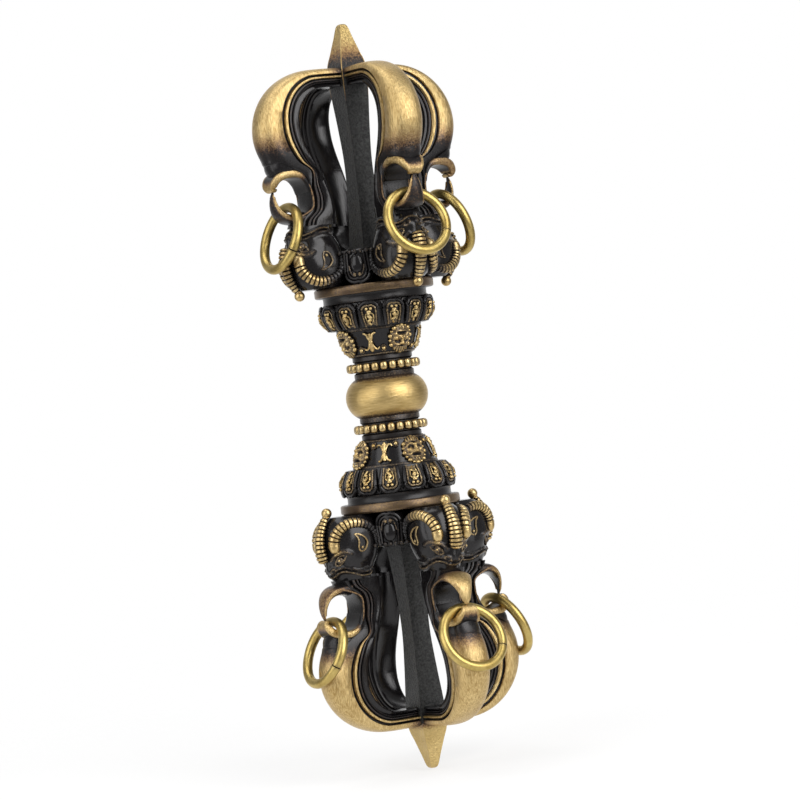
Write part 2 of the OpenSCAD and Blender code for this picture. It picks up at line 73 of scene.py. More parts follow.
# Radii of the stack
HUB_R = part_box("hub_bead")[1].x / MM
NECK_R = 8.0
MASK_FOOT_R = 8.8
MASK_TOP_R = 11.5
LOTUS_BASE_R = 13.0
LOTUS_R = 15.3
PLATE_NECK_R = 14.1
PLATE_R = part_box("upper_base_plate")[1].x / MM
PLATE_T = 2.5
PLATE_ROUND = 0.6
CUP_FLAT = 20.0
CARTOUCHE_R = 16.0
# Bore of the stack, which the tie rod goes through with a little clearance
BORE_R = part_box("tie_rod")[1].x / MM + 0.1


# Numbers and curves


def lerp(a, b, t):
    return a + (b - a) * t


def ramp(low, high, x):
    """0 below low, 1 above high, and a soft step between them."""
    t = np.clip((np.asarray(x, float) - low) / (high - low), 0, 1)
    return t * t * (3 - 2 * t)


def spline(points, steps, closed=False):
    """Smooth curve through points of any kind, with that many steps from each point to the next."""
    p = np.asarray(points, float)
    n = len(p)
    out = []
    for i in range(n if closed else n - 1):
        near = [(i + k) % n if closed else min(max(i + k, 0), n - 1) for k in (-1, 0, 1, 2)]
        a, b, c, d = p[near]
        for f in np.arange(steps) / steps:
            bend = (2 * a - 5 * b + 4 * c - d) * f**2 + (3 * b - a - 3 * c + d) * f**3
            out.append(0.5 * (2 * b + (c - a) * f + bend))
    if not closed:
        out.append(p[-1])
    return np.array(out)


def bezier(p, s):
    a, b, c, d = (np.asarray(q, float) for q in p)
    return a * (1 - s) ** 3 + 3 * b * s * (1 - s) ** 2 + 3 * c * s**2 * (1 - s) + d * s**3


def on_ellipse(centre, size, degrees):
    a = math.radians(degrees)
    return np.array([centre[0] + size[0] * math.cos(a), centre[1] + size[1] * math.sin(a)])


# Carving: surfaces that make up one piece


class Carving:
    """Collects surfaces in millimetres, and how gilded each of their points is, from 0 to 1."""

    def __init__(self):
        self.points = []
        self.gilt = []
        self.faces = []
        self.count = 0

    def grid(self, rows, gilt, caps=False, loop=False):
        """Skin over equal closed rows of points; caps closes the first and last row, loop joins them."""
        rows = np.asarray(rows, float)
        m, n = rows.shape[:2]
        base = self.count
        points = rows.reshape(-1, 3)
        values = np.broadcast_to(np.asarray(gilt, float), (m, n)).reshape(-1)
        for j in range(m if loop else m - 1):
            low, high = base + j * n, base + (j + 1) % m * n
            for i in range(n):
                k = (i + 1) % n
                self.faces.append((low + i, low + k, high + k, high + i))
        if caps:
            self.faces.append(tuple(base + i for i in reversed(range(n))))
            self.faces.append(tuple(base + (m - 1) * n + i for i in range(n)))
        self.points.append(points)
        self.gilt.append(values)
        self.count += len(points)

    def revolve(self, profile, gilt, segments=96):
        """Turns (radius, height) points about the axis into a closed ring round the bore."""
        profile = np.asarray(profile, float)
        turn = np.linspace(0, 2 * math.pi, segments, endpoint=False)
        radius, height = profile[:, :1], np.repeat(profile[:, 1:], segments, 1)
        rows = np.stack([radius * np.cos(turn), radius * np.sin(turn), height], -1)
        self.grid(rows, np.broadcast_to(np.asarray(gilt, float), len(profile))[:, None], loop=True)

    def tube(self, path, radius, gilt=1.0, sides=8, flat=1.0, across=(0, 1, 0)):
        """Round or flattened bar along a path; flat is its width along across over its height."""
        path = np.asarray(path, float)
        radius = np.broadcast_to(np.asarray(radius, float), len(path))
        ahead = np.gradient(path, axis=0)
        ahead /= np.linalg.norm(ahead, axis=1)[:, None] + 1e-9
        side = np.asarray(across, float) - ahead * (ahead @ np.asarray(across, float))[:, None]
        # Where the path runs along across, a spare direction takes its place
        weak = np.linalg.norm(side, axis=1) < 0.2
        if weak.any():
            spare = np.array([0.3, 0.2, 0.93])
            side[weak] = spare - ahead[weak] * (ahead[weak] @ spare)[:, None]
        side /= np.linalg.norm(side, axis=1)[:, None] + 1e-9
        up = np.cross(ahead, side)
        turn = np.linspace(0, 2 * math.pi, sides, endpoint=False)
        rows = path[:, None] + radius[:, None, None] * (
            flat * np.cos(turn)[None, :, None] * side[:, None]
            + np.sin(turn)[None, :, None] * up[:, None]
        )
        values = np.broadcast_to(np.asarray(gilt, float), len(path))[:, None]
        self.grid(rows, values, caps=True)

    def ball(self, centre, radii, gilt=1.0, axes=np.eye(3), boxy=1.0, sides=14, rings=9):
        """Ellipsoid with its radii along axes; boxy below 1 squares it off."""
        # The poles end in small flats, so that no face collapses
        lift = np.linspace(-0.49, 0.49, rings) * math.pi
        turn = np.linspace(0, 2 * math.pi, sides, endpoint=False)

        def square(x):
            return np.sign(x) * np.abs(x) ** boxy

        level, height = square(np.cos(lift))[:, None], np.repeat(square(np.sin(lift))[:, None], sides, 1)
        local = np.stack([level * square(np.cos(turn)), level * square(np.sin(turn)), height], -1)
        radii = np.broadcast_to(np.asarray(radii, float), 3)
        self.grid(np.asarray(centre, float) + (local * radii) @ np.asarray(axes, float), gilt, caps=True)

    def include(self, other, move):
        """Adds a copy of another carving with its points moved by a function."""
        points = move(np.vstack(other.points))
        self.faces += [tuple(i + self.count for i in f) for f in other.faces]
        self.points.append(points)
        self.gilt.append(np.concatenate(other.gilt))
        self.count += len(points)

    def place(self, node, body, material, slot, end=0, side=0, crease=35):
        """Makes the object that stands for a CAD node, turned to its side and mirrored to its end."""
        points = np.vstack(self.points)
        a = math.radians(90 * side)
        c, s = round(math.cos(a)), round(math.sin(a))
        points = points @ np.array([[c, s, 0], [-s, c, 0], [0, 0, 1]], float)
        faces = self.faces
        if end:
            points = points * (1, 1, -1)
            faces = [tuple(reversed(f)) for f in faces]
        mesh = bpy.data.meshes.new(node + "_look")
        mesh.from_pydata((points * MM).tolist(), [], faces)
        mesh.attributes.new("gilt", "FLOAT", "POINT").data.foreach_set(
            "value", np.concatenate(self.gilt).astype(np.float32)
        )
        mesh.shade_smooth()
        mesh.set_sharp_from_angle(angle=math.radians(crease))
        mesh.materials.append(material)
        piece = bpy.data.objects.new(node + "_look", mesh)
        bpy.context.scene.collection.objects.link(piece)
        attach(piece, body)
        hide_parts(node)


def carve(points, outward, marks, gilt, mirror):
    """Raises or sinks a surface along outward by soft marks, each a path with its width, height and gilt.

    The marks are drawn on the positive side of the mirror axis and repeat on the other side."""
    flat = points.reshape(-1, 3).copy()
    flat[:, mirror] = np.abs(flat[:, mirror])
    lift, tint = np.zeros(len(flat)), np.full(len(flat), float(gilt))
    for path, width, height, shine in marks:
        path = np.atleast_2d(path)
        dense = spline(path, 8) if len(path) > 1 else path
        gap = np.linalg.norm(flat[:, None] - dense[None], axis=2).min(1)
        soft = np.exp(-((gap / width) ** 2))
        lift += height * soft
        tint = lerp(tint, shine, soft)
    shape = points.shape[:-1]
    return points + lift.reshape(*shape, 1) * outward, tint.reshape(shape)


def polar(radius, degrees, z):
    a = np.radians(degrees)
    return np.stack(np.broadcast_arrays(radius * np.cos(a), radius * np.sin(a), z), -1)


# Materials


def linear(hex_colour):
    """sRGB hex to linear RGBA."""
    parts = [int(hex_colour[i : i + 2], 16) / 255 for i in (1, 3, 5)]
    return [c / 12.92 if c <= 0.04045 else ((c + 0.055) / 1.055) ** 2.4 for c in parts] + [1.0]


def add_node(tree, kind, output=0, settings=None, **links):
    """Adds a shader node with its properties set, and returns one of its outputs.

    A link sets an input, by its name or its number after an i, to a value or to another node's output."""
    made = tree.nodes.new("ShaderNode" + kind)
    for name, value in (settings or {}).items():
        setattr(made, name, value)
    for name, value in links.items():
        socket = made.inputs[int(name[1:])] if name[0] == "i" and name[1:].isdigit() else made.inputs[name]
        if isinstance(value, bpy.types.NodeSocket):
            tree.links.new(value, socket)
        else:
            socket.default_value = value
    return made.outputs[output] if made.outputs else None


# A MapRange takes i1 to i2 over to i3 to i4, and a colour mix has its share in i0 and
# its two colours in i6 and i7
SMOOTH = {"interpolation_type": "SMOOTHSTEP"}
COLOUR_MIX = {"data_type": "RGBA"}


def new_material(name):
    material = bpy.data.materials.new(name)
    material.use_nodes = True
    tree = material.node_tree
    tree.nodes.clear()
    return material, tree


# Size of the cloudy wash on rubbed brass
CLOUD_MM = 6


def aged_brass(
    name, bright, worn, dark, bright_rough=0.34, dark_rough=0.36, grain_mm=(0.35, 0.35, 0.35), grain=0.06,
    wash=0.5, crevice_mm=0.9, speckle_mm=0.45, stain="#4b3a33", bump_strength=0.35, scratch=0.8, fleck=0.9,
    cast="#201e1f", dark_bump=0.2
):
    """Cast brass, blackened by a patina bath and then rubbed bright where the gilt attribute is high.

    The rubbing leaves fine satin lines, and where it fades it leaves speckle and a brown stain. The patina
    stays in the crevices. Sizes are of the lines along each axis, of a crevice and of the speckle; grain is
    the depth of the relief, and wash, scratch and fleck are how strongly cloud, lines and speckle show."""
    material, tree = new_material(name)
    add, add_up = {"operation": "ADD"}, {"operation": "MULTIPLY_ADD"}
    place = add_node(tree, "TexCoord", "Object")
    gilt = add_node(tree, "Attribute", "Fac", {"attribute_name": "gilt"})
    speckle = add_node(
        tree, "TexNoise", Vector=place, Scale=1 / (speckle_mm * MM), Detail=4.0, Roughness=0.65
    )
    cloud = add_node(tree, "TexNoise", Vector=place, Scale=1 / (CLOUD_MM * MM), Detail=3.0)
    stretch = add_node(tree, "Mapping", Vector=place, Scale=[1 / (mm * MM) for mm in grain_mm])
    lines = add_node(tree, "TexNoise", Vector=stretch, Scale=1.0, Detail=5.0, Roughness=0.6)

    # How far the rubbing reached: not into the crevices, and broken up by the speckle
    open_sky = add_node(
        tree, "AmbientOcclusion", "AO", {"samples": 6, "only_local": True}, Distance=crevice_mm * MM
    )
    rubbed = add_node(tree, "MapRange", 0, SMOOTH, Value=open_sky, i1=0.25, i2=0.8)
    cover = add_node(tree, "Math", 0, {"operation": "MULTIPLY"}, i0=gilt, i1=rubbed)
    noisy = add_node(tree, "Math", 0, add_up, i0=speckle, i1=fleck, i2=-fleck / 2)
    shaken = add_node(tree, "Math", 0, add, i0=cover, i1=noisy)
    share = add_node(tree, "MapRange", 0, SMOOTH, Value=shaken, i1=0.22, i2=0.72)
    thin = add_node(tree, "MapRange", 0, SMOOTH, Value=shaken, i1=0.16, i2=0.5)

    # Bright and worn metal, over the stain, over the black
    tone = add_node(tree, "Math", 0, add_up, i0=cloud, i1=wash * 2, i2=0.5 - wash - scratch / 2)
    tone = add_node(tree, "Math", 0, {**add_up, "use_clamp": True}, i0=lines, i1=scratch, i2=tone)
    metal = add_node(tree, "Mix", 2, COLOUR_MIX, i0=tone, i6=linear(worn), i7=linear(bright))
    sand = add_node(tree, "MapRange", Value=speckle, i1=0.36, i2=0.64)
    black = add_node(tree, "Mix", 2, COLOUR_MIX, i0=sand, i6=linear(dark), i7=linear(cast))
    under = add_node(tree, "Mix", 2, COLOUR_MIX, i0=thin, i6=black, i7=linear(stain))
    colour = add_node(tree, "Mix", 2, COLOUR_MIX, i0=share, i6=under, i7=metal)

    # The satin lines vary the roughness about its mean
    rough = add_node(tree, "MapRange", Value=gilt, i2=0.2, i3=dark_rough, i4=bright_rough)
    rough = add_node(tree, "Math", 0, add_up, i0=lines, i1=0.16, i2=rough)
    rough = add_node(tree, "Math", 0, {"operation": "SUBTRACT"}, i0=rough, i1=0.08)
    metallic = add_node(tree, "MapRange", Value=share, i3=0.35)
    relief = add_node(tree, "Math", 0, add_up, i0=speckle, i1=0.5, i2=lines)
    depth = add_node(tree, "MapRange", Value=share, i3=dark_bump * bump_strength, i4=bump_strength)
    bump = add_node(tree, "Bump", Strength=depth, Distance=grain * MM, Height=relief)
    surface = {"Base Color": colour, "Metallic": metallic, "Roughness": rough, "Normal": bump}
    shader = add_node(tree, "BsdfPrincipled", **surface)
    add_node(tree, "OutputMaterial", Surface=shader)
    return material


# Hub bead, turned and then brushed round: the lines run with the turning, so they stretch along the surface
HUB_BRASS = aged_brass(
    "brushed_hub_brass", "#dcc188", "#a3874f", "#2e2218", 0.4, 0.4, (3.0, 3.0, 0.3), 0.12, 0.3,
    bump_strength=0.9, scratch=1.5, cast="#3d2c1e"
)
# Prongs, cast and rubbed with fine grit until the patina is gone from the bellies
PRONG_BRASS = aged_brass(
    "rubbed_prong_brass", "#e4ca92", "#9a7c48", "#131112", 0.38, 0.13, (0.35, 0.35, 1.6), 0.18, 0.35,
    stain="#69452f", bump_strength=1.0, scratch=2.2, fleck=0.55
)
# Centre prongs, left as cast, so their black faces are pitted like sand
SPIKE_BRASS = aged_brass(
    "sand_cast_spike_brass", "#e2c88c", "#a88c52", "#171717", 0.38, 0.36, (0.6, 0.6, 0.6), 0.3, 0.4,
    speckle_mm=0.6, stain="#80522e", bump_strength=1.0, cast="#424241", fleck=0.6, dark_bump=1.0
)
# Collars, cups and heads, cast with their ornament and left black, with the raised work rubbed bright
CARVED_BRASS = aged_brass(
    "blackened_carved_brass", "#ecd49c", "#97763f", "#131112", 0.36, 0.14, (0.6, 0.6, 0.6), 0.05, 0.5,
    1.1, 0.3
)
# Neck rings, pale where the beads are rubbed
BEAD_BRASS = aged_brass(
    "pale_bead_brass", "#dcc794", "#98794a", "#221a15", 0.34, 0.34, (0.5, 0.5, 0.5), 0.05, 0.5, 1.0, 0.4
)
# Base plates, turned, with a brown wash left towards the rim's edges; their colours are also set darker all
# over as painted shade
PLATE_BRASS = aged_brass(
    "brown_shaded_plate_brass", "#98805a", "#44352a", "#1b1818", 0.34, 0.3, (4.0, 4.0, 0.15), 0.04, 0.55
)
# Rings, drawn wire bent round and left yellow, with drawing marks and scuffs
RING_BRASS = aged_brass(
    "drawn_ring_brass", "#d6c07a", "#94793c", "#3a2d12", 0.38, 0.4, (0.7, 0.7, 0.7), 0.05, 0.55, 0.6, 0.4
)


# Hub bead


def hub_bead():
    piece = Carving()
    sag = HUB_R - NECK_R
    bulge = (sag * sag + NECK_Z * NECK_Z) / (2 * sag)
    reach = math.asin(NECK_Z / bulge)
    arc = np.linspace(-reach, reach, 41)
    outline = np.stack([HUB_R - bulge + bulge * np.cos(arc), bulge * np.sin(arc)], -1)
    # The bead darkens towards the necks above and below: partly a brown stain, partly painted shade where it
    # meets them
    gilt = 1.0 - 0.8 * ramp(0.66, 1.0, np.abs(outline[:, 1]) / NECK_Z)
    profile = np.vstack([[(BORE_R, -NECK_Z)], outline, [(BORE_R, NECK_Z)]])
    piece.revolve(profile, np.concatenate([[0], gilt, [0]]), 128)
    return piece


# Beaded neck ring

BEAD_COUNT = 24
BEAD_R = 1.2
BEAD_REACH = 8.7


def bead_ring():
    piece = Carving()
    middle = (NECK_Z + MASK_Z) / 2
    neck = [
        (BORE_R, NECK_Z), (NECK_R - 0.1, NECK_Z), (NECK_R, NECK_Z + 0.2), (NECK_R, middle - 1.7),
        (NECK_R - 0.5, middle - 1.3), (NECK_R - 0.5, middle + 1.3), (NECK_R, middle + 1.7),
        (NECK_R, MASK_Z - 0.2), (NECK_R - 0.1, MASK_Z), (BORE_R, MASK_Z)
    ]
    piece.revolve(neck, [0, 0.2, 0.26, 0.2, 0.0, 0.0, 0.12, 0.1, 0.05, 0])
    for i in range(BEAD_COUNT):
        a = 360 * i / BEAD_COUNT
        piece.ball(
            polar(BEAD_REACH, a, middle), (BEAD_R, 0.84 * BEAD_R, BEAD_R), 1.0,
            [polar(1, a, 0), polar(1, a + 90, 0), (0, 0, 1)], 0.72, 14, 11
        )
    return piece


# Mask collar

MASK_SLOPE = math.atan((MASK_TOP_R - MASK_FOOT_R) / (LOTUS_Z - MASK_Z))
MASK_MID_R = (MASK_FOOT_R + MASK_TOP_R) / 2


def on_collar(degrees):
    """Maps (across, towards the hub, out) on the sloping collar to a place."""
    height = (MASK_Z + LOTUS_Z) / 2

    def move(p):
        p = np.asarray(p, float)
        radius = MASK_MID_R - p[..., 1] * math.sin(MASK_SLOPE) + p[..., 2] * math.cos(MASK_SLOPE)
        z = height - p[..., 1] * math.cos(MASK_SLOPE) - p[..., 2] * math.sin(MASK_SLOPE)
        return polar(radius, degrees + np.degrees(p[..., 0] / MASK_MID_R), z)

    return move


MASK_HALF_W = 3.0
MASK_HALF_H = 4.0
MASK_DOME = 1.35
MASK_RELIEF = 1.4
CURL_COUNT = 13
# Carving on one half of the lion's face: path, width, height and gilt
MASK_MARKS = [
    ([(0.2, 2.0, 1), (0.35, 2.8, 0.8), (0.15, 3.8, 0.3)], 0.2, 0.4, 1.0),
    ([(0.75, 2.0, 0.9), (1.05, 2.7, 0.7), (1.0, 3.6, 0.3)], 0.2, 0.4, 1.0),
    ([(1.3, 1.8, 0.8), (1.75, 2.4, 0.6), (1.85, 3.1, 0.3)], 0.2, 0.4, 1.0),
    ([(1.8, 1.3, 0.6), (2.3, 1.8, 0.4), (2.6, 2.4, 0.1)], 0.2, 0.4, 1.0),
    ([(2.1, 0.6, 0.6), (2.6, 0.9, 0.3), (2.9, 1.4, 0.1)], 0.2, 0.4, 0.95),
    ([(0.55, 2.1, 0.9), (0.7, 3.5, 0.5)], 0.16, -0.4, 0.0),
    ([(1.05, 2.0, 0.8), (1.5, 3.2, 0.4)], 0.16, -0.4, 0.0),
    ([(1.6, 1.7, 0.6), (2.2, 2.6, 0.3)], 0.16, -0.4, 0.0),
    ([(1.95, 1.0, 0.6), (2.7, 1.7, 0.2)], 0.16, -0.4, 0.0),
    ([(0.0, 1.75, 1.1), (0.7, 1.8, 1), (1.5, 1.55, 0.8)], 0.16, -0.35, 0.0),
    ([(0.15, 0.7, 1.1), (0.7, 1.35, 1), (1.4, 1.25, 0.85), (2.0, 0.6, 0.7)], 0.26, 0.6, 1.0),
    ([(0.5, 0.45, 1.1), (1.0, 0.65, 1), (1.5, 0.45, 0.9)], 0.3, -0.6, 0.0),
    ([(0.95, 0.45, 1)], 0.24, 0.5, 0.9),
    ([(0.0, 1.0, 1.2), (0.0, 0.3, 1.2), (0.0, -0.45, 1.2)], 0.3, 0.75, 1.0),
    ([(0.42, -0.6, 1.1)], 0.28, 0.6, 1.0),
    ([(0.45, 0.0, 1.1), (0.75, -0.75, 1)], 0.16, -0.45, 0.0),
    ([(1.5, -0.35, 0.9)], 0.5, 0.45, 1.0),
    ([(0.15, -1.05, 1.1), (0.85, -1.05, 1), (1.6, -1.6, 0.8), (2.3, -1.2, 0.4)], 0.24, 0.6, 1.0),
    ([(0.0, -1.65, 1), (0.75, -1.75, 0.9)], 0.3, -0.9, 0.0),
    ([(0.0, -2.3, 0.9), (0.85, -2.2, 0.8), (1.5, -2.1, 0.6)], 0.22, 0.5, 1.0),
    ([(0.0, -2.8, 0.8), (0.9, -2.75, 0.6), (1.8, -2.3, 0.4)], 0.16, -0.35, 0.0),
    ([(0.3, -2.9, 0.8), (0.45, -3.5, 0.4)], 0.2, 0.35, 1.0),
    ([(1.1, -2.7, 0.6), (1.4, -3.2, 0.3)], 0.2, 0.35, 1.0),
    ([(2.2, 0.1, 0.5), (2.6, -0.5, 0.3)], 0.22, 0.4, 0.95),
    ([(2.1, -0.7, 0.5), (2.7, -1.2, 0.2)], 0.14, -0.35, 0.0),
    ([(1.85, 0.1, 0.7), (1.95, -0.9, 0.6)], 0.14, -0.4, 0.0)
]


def lion_mask():
    """Lion's face, its mane towards the hub and its beard of curls away from it."""
    face = Carving()
    shares = np.linspace(0.02, 1, 28)
    turn = np.linspace(0, 2 * math.pi, 80, endpoint=False)
    reach = shares[:, None]
    dome = np.repeat(MASK_DOME * np.sqrt(1 - 0.96 * reach**2), len(turn), 1)
    rows = np.stack([MASK_HALF_W * reach * np.cos(turn), MASK_HALF_H * reach * np.sin(turn), dome], -1)
    # A skirt closes the face down to the collar
    skirt = rows[-1:] * (1, 1, 0) - (0, 0, 0.2)
    points, gilt = carve(rows, np.array((0, 0, MASK_RELIEF)), MASK_MARKS, 0.3, 0)
    face.grid(np.concatenate([points, skirt]), np.concatenate([gilt, 0 * gilt[:1]]), caps=True)
    for i in range(CURL_COUNT):
        a = math.radians(lerp(-205, 25, i / (CURL_COUNT - 1)))
        curl = (0.97 * MASK_HALF_W * math.cos(a), 0.95 * MASK_HALF_H * math.sin(a), 0.4)
        face.ball(curl, 0.42 if i % 2 else 0.62, 1.0, sides=10, rings=7)
    return face


def collar_vajra():
    """Small crossed-arm ornament between two masks, with a stud on each side of it."""
    ornament = Carving()
    ornament.tube(spline([(0, -2.2, 0.15), (0, -0.4, 0.3), (0, 1.0, 0.3), (0, 2.5, 0.15)], 5), 0.4, 1.0, 8)
    ornament.ball((0, 0.1, 0.3), (0.62, 0.55, 0.5))
    ornament.ball((0, 2.55, 0.2), (0.42, 0.5, 0.4))
    turn = np.linspace(0, 2 * math.pi, 25)
    rim = np.stack([0.78 * np.cos(turn), 2.25 + 0.78 * np.sin(turn), np.full(25, 0.1)], -1)
    # Curled arm, inner leaf and foot of one half: path, radii at its ends and gilt
    arm = [(0.2, 0.3, 0.25), (0.55, 1.2, 0.35), (1.1, 2.1, 0.3), (1.85, 2.2, 0.25), (2.15, 1.7, 0.2)]
    leaf = [(0.15, 0.9, 0.3), (0.5, 1.75, 0.3), (0.4, 2.45, 0.2)]
    foot = [(0.1, -0.3, 0.3), (0.45, -1.0, 0.35), (0.7, -1.9, 0.3), (1.35, -2.4, 0.2)]
    strokes = ((arm, 0.32, 0.16, 0.9), (leaf, 0.26, 0.18, 0.9), (foot, 0.36, 0.24, 0.95))
    for side in (-1, 1):
        flip = np.array((side, 1, 1))
        for path, start, end, gilt in strokes:
            curve = spline(path * flip, 4)
            ornament.tube(curve, np.linspace(start, end, len(curve)), gilt, 7)
        ornament.ball(flip * (1.35, -2.35, 0.2), 0.32, 0.95, sides=10, rings=7)
        ornament.tube(rim + (3.3 * side, 0, 0), 0.2, 0.3, 6)
        ornament.ball(flip * (3.3, 2.25, 0.25), (0.56, 0.56, 0.5), 1.0)
    return ornament


def mask_collar():
    piece = Carving()
    slope = math.tan(MASK_SLOPE)

    def wall(z, inset):
        return MASK_FOOT_R + (z - MASK_Z) * slope - inset

    levels = [
        (0.0, 0.1, 0.1), (0.12, 0.0, 0.3), (0.45, 0.0, 0.3), (0.62, 0.3, 0.08), (1.0, 0.32, 0.05),
        (6.3, 0.32, 0.05), (6.6, 0.3, 0.08), (6.75, 0.0, 0.25), (7.2, 0.0, 0.25), (7.4, 0.12, 0.1)
    ]
    profile = [(BORE_R, MASK_Z)] + [(wall(MASK_Z + h, inset), MASK_Z + h) for h, inset, _ in levels]
    piece.revolve(profile + [(BORE_R, LOTUS_Z)], [0] + [g for _, _, g in levels] + [0])
    face, ornament = lion_mask(), collar_vajra()
    for side in range(4):
        piece.include(face, on_collar(90 * side))
        piece.include(ornament, on_collar(90 * side + 45))
    return piece


# Lotus collar

PETAL_COUNT = 14
PETAL_W = 5.6
LOTUS_LEN = PLATE_NECK_Z - LOTUS_Z


def on_lotus(degrees):
    """Maps (across, height, out) on the swelling collar to a place."""
    heights = np.array([0, 0.2, 0.42, 0.62, 0.8, 1.0]) * LOTUS_LEN
    radii = np.array([13.2, 14.1, 14.8, 15.15, 15.25, 14.9])

    def move(p):
        p = np.asarray(p, float)
        radius = np.interp(p[..., 1], heights, radii) - 0.45 + p[..., 2]
        return polar(radius, degrees + np.degrees(p[..., 0] / LOTUS_R), LOTUS_Z + p[..., 1])

    return move


def arch(width, root, tip, lift, narrow, bend, dip, dip_w, steps):
    """Outline from a narrower root, up its sides, to an arched tip with a small dip in its middle."""
    shoulder = tip - math.copysign(0.45 * width, tip - root)
    half = [(width / 2 * lerp(narrow, 1, s), lerp(root, shoulder, s)) for s in np.linspace(0, 1, steps)]
    for a in np.radians(np.arange(15, 91, 15)):
        across = width / 2 * math.cos(a)
        sink = math.copysign(dip, tip - root) * math.exp(-((across / dip_w) ** 2))
        half.append((across, shoulder + (tip - shoulder) * math.sin(a) ** bend - sink))
    return np.array([(x, y, lift) for x, y in half + [(-x, y) for x, y in reversed(half[:-1])]])


def petal_outline(width, tip, lift):
    return arch(width, 0.15, tip, lift, narrow=0.86, bend=0.85, dip=0.28, dip_w=0.55, steps=7)


def lotus_petal():
    petal = Carving()
    tip = LOTUS_LEN - 0.25
    petal.tube(petal_outline(PETAL_W - 0.1, tip, 0.2), 0.5, 0.12, 10)
    petal.tube(petal_outline(PETAL_W - 1.8, tip - 0.95, 0.35), 0.28, 0.36, 8)
    rim = petal_outline(PETAL_W - 0.6, tip - 0.1, 0.0)
    heart = np.array([0, 0.5 * tip, 0.35])
    panel = [rim - (0, 0, 0.5)]
    panel += [lerp(rim, heart, s) + (0, 0, -0.15 * math.sin(math.pi * s)) for s in np.linspace(0, 0.97, 7)]
    # The rubbing reaches the root of the panel and not its tip
    petal.grid(panel, 0.38 - 0.2 * ramp(1.5, 4.8, np.array(panel)[..., 1]), caps=True)
    figure = [(0.1, 0.5, 0.4), (-0.45, 1.3, 0.65), (0.4, 2.1, 0.8), (-0.3, 3.0, 0.85), (0.1, 3.8, 0.75)]
    petal.tube(spline(figure, 5), np.repeat([0.3, 0.42, 0.5, 0.46, 0.36], 5)[:21], 1.0, 8)
    petal.ball((0, 3.9, 0.7), (0.7, 0.4, 0.5), 0.9)
    sleeve = spline([(0.35, 3.6, 0.6), (1.05, 3.1, 0.5), (1.0, 2.1, 0.45), (0.75, 1.2, 0.4)], 4)
    for side in (-1, 1):
        petal.ball((0.58 * side, 4.75, 0.6), 0.46, 1.0, sides=10, rings=7)
        petal.tube(sleeve * (side, 1, 1), np.linspace(0.26, 0.2, len(sleeve)), 0.75, 6)
    pitch = 2 * math.pi * LOTUS_R / PETAL_COUNT
    between = [(-0.9, 4.2, -0.5), (-0.6, 5.6, -0.4), (0, 6.55, -0.35), (0.6, 5.6, -0.4), (0.9, 4.2, -0.5)]
    petal.tube(spline(between, 4) + (pitch / 2, 0, 0), 0.28, 0.15, 6)
    return petal


def lotus_collar():
    piece = Carving()
    piece.revolve(
        [
            (BORE_R, LOTUS_Z), (LOTUS_BASE_R - 0.2, LOTUS_Z), (LOTUS_BASE_R + 0.6, LOTUS_Z + 2.2),
            (LOTUS_BASE_R + 1.0, LOTUS_Z + 5.2), (LOTUS_BASE_R + 0.8, PLATE_NECK_Z - 0.3),
            (LOTUS_BASE_R, PLATE_NECK_Z), (BORE_R, PLATE_NECK_Z)
        ],
        [0, 0.1, 0.05, 0.05, 0.1, 0.05, 0]
    )
    petal = lotus_petal()
    for i in range(PETAL_COUNT):
        piece.include(petal, on_lotus(360 * i / PETAL_COUNT))
    return piece


# Base plate


def base_plate():
    piece = Carving()
    z = CUP_Z - PLATE_T
    edge = []
    for a in np.linspace(-math.pi / 2, math.pi / 2, 9):
        centre = z + PLATE_ROUND if math.sin(a) < 0 else CUP_Z - PLATE_ROUND
        edge.append((PLATE_R - PLATE_ROUND + PLATE_ROUND * math.cos(a), centre + PLATE_ROUND * math.sin(a)))
    profile = [
        (BORE_R, PLATE_NECK_Z), (PLATE_NECK_R, PLATE_NECK_Z), (PLATE_NECK_R - 0.25, PLATE_NECK_Z + 0.5),
        (PLATE_NECK_R - 0.25, z - 0.4), (PLATE_NECK_R, z)
    ]
    gilt = [0, 0.2, 0.1, 0.1, 0.1]
    piece.revolve(
        profile + edge + [(PLATE_R - 1.2, CUP_Z), (BORE_R, CUP_Z)],
        gilt + [0.1, 0.35] + [0.5] * (len(edge) - 4) + [0.4, 0.25] + [0.1, 0], 128
    )
    return piece


# Petal cup

CARTOUCHE_W = 7.4
# Block behind each cartouche: reach of its middle, half its depth and half its width
BLOCK_REACH = 9.5
BLOCK_HALF_D = 5.9
BLOCK_HALF_W = 3.7


def on_cup(degrees):
    """Maps (across, away from the plate, out) on the front of the cup to a place."""

    def move(p):
        p = np.asarray(p, float)
        radius = CARTOUCHE_R - 0.5 + p[..., 2] - 0.012 * p[..., 0] ** 2
        return polar(radius, degrees + np.degrees(p[..., 0] / CARTOUCHE_R), CUP_Z + p[..., 1])

    return move


def cartouche():
    panel = Carving()
    height = SPIKE_Z - CUP_Z
    form = {"narrow": 0.9, "bend": 0.8, "dip": 0.3, "dip_w": 0.6, "steps": 6}
    panel.tube(arch(CARTOUCHE_W - 0.4, height - 0.6, 0.35, 0.0, **form), 0.38, 0.1, 8)
    panel.tube(arch(CARTOUCHE_W - 2.2, height - 1.0, 1.25, 0.1, **form), 0.26, 0.16, 8)
    panel.ball((0, 5.4, -0.5), (2.15, 2.7, 1.15), 0.0, sides=24, rings=13)
    scroll = spline([(0.4, 2.1, 0.2), (1.1, 2.3, 0.25), (1.75, 3.3, 0.2), (2.15, 5.0, 0.1)], 4)
    for side in (-1, 1):
        panel.ball((0.72 * side, 2.5, 0.2), (0.5, 0.5, 0.4), 0.38)
        panel.tube(scroll * (side, 1, 1), 0.22, 0.25, 6)
    for i in range(7):
        panel.ball((1.55 * (i - 3), height - 0.75, 0.0), 0.6, 0.2, sides=10, rings=7)
    return panel


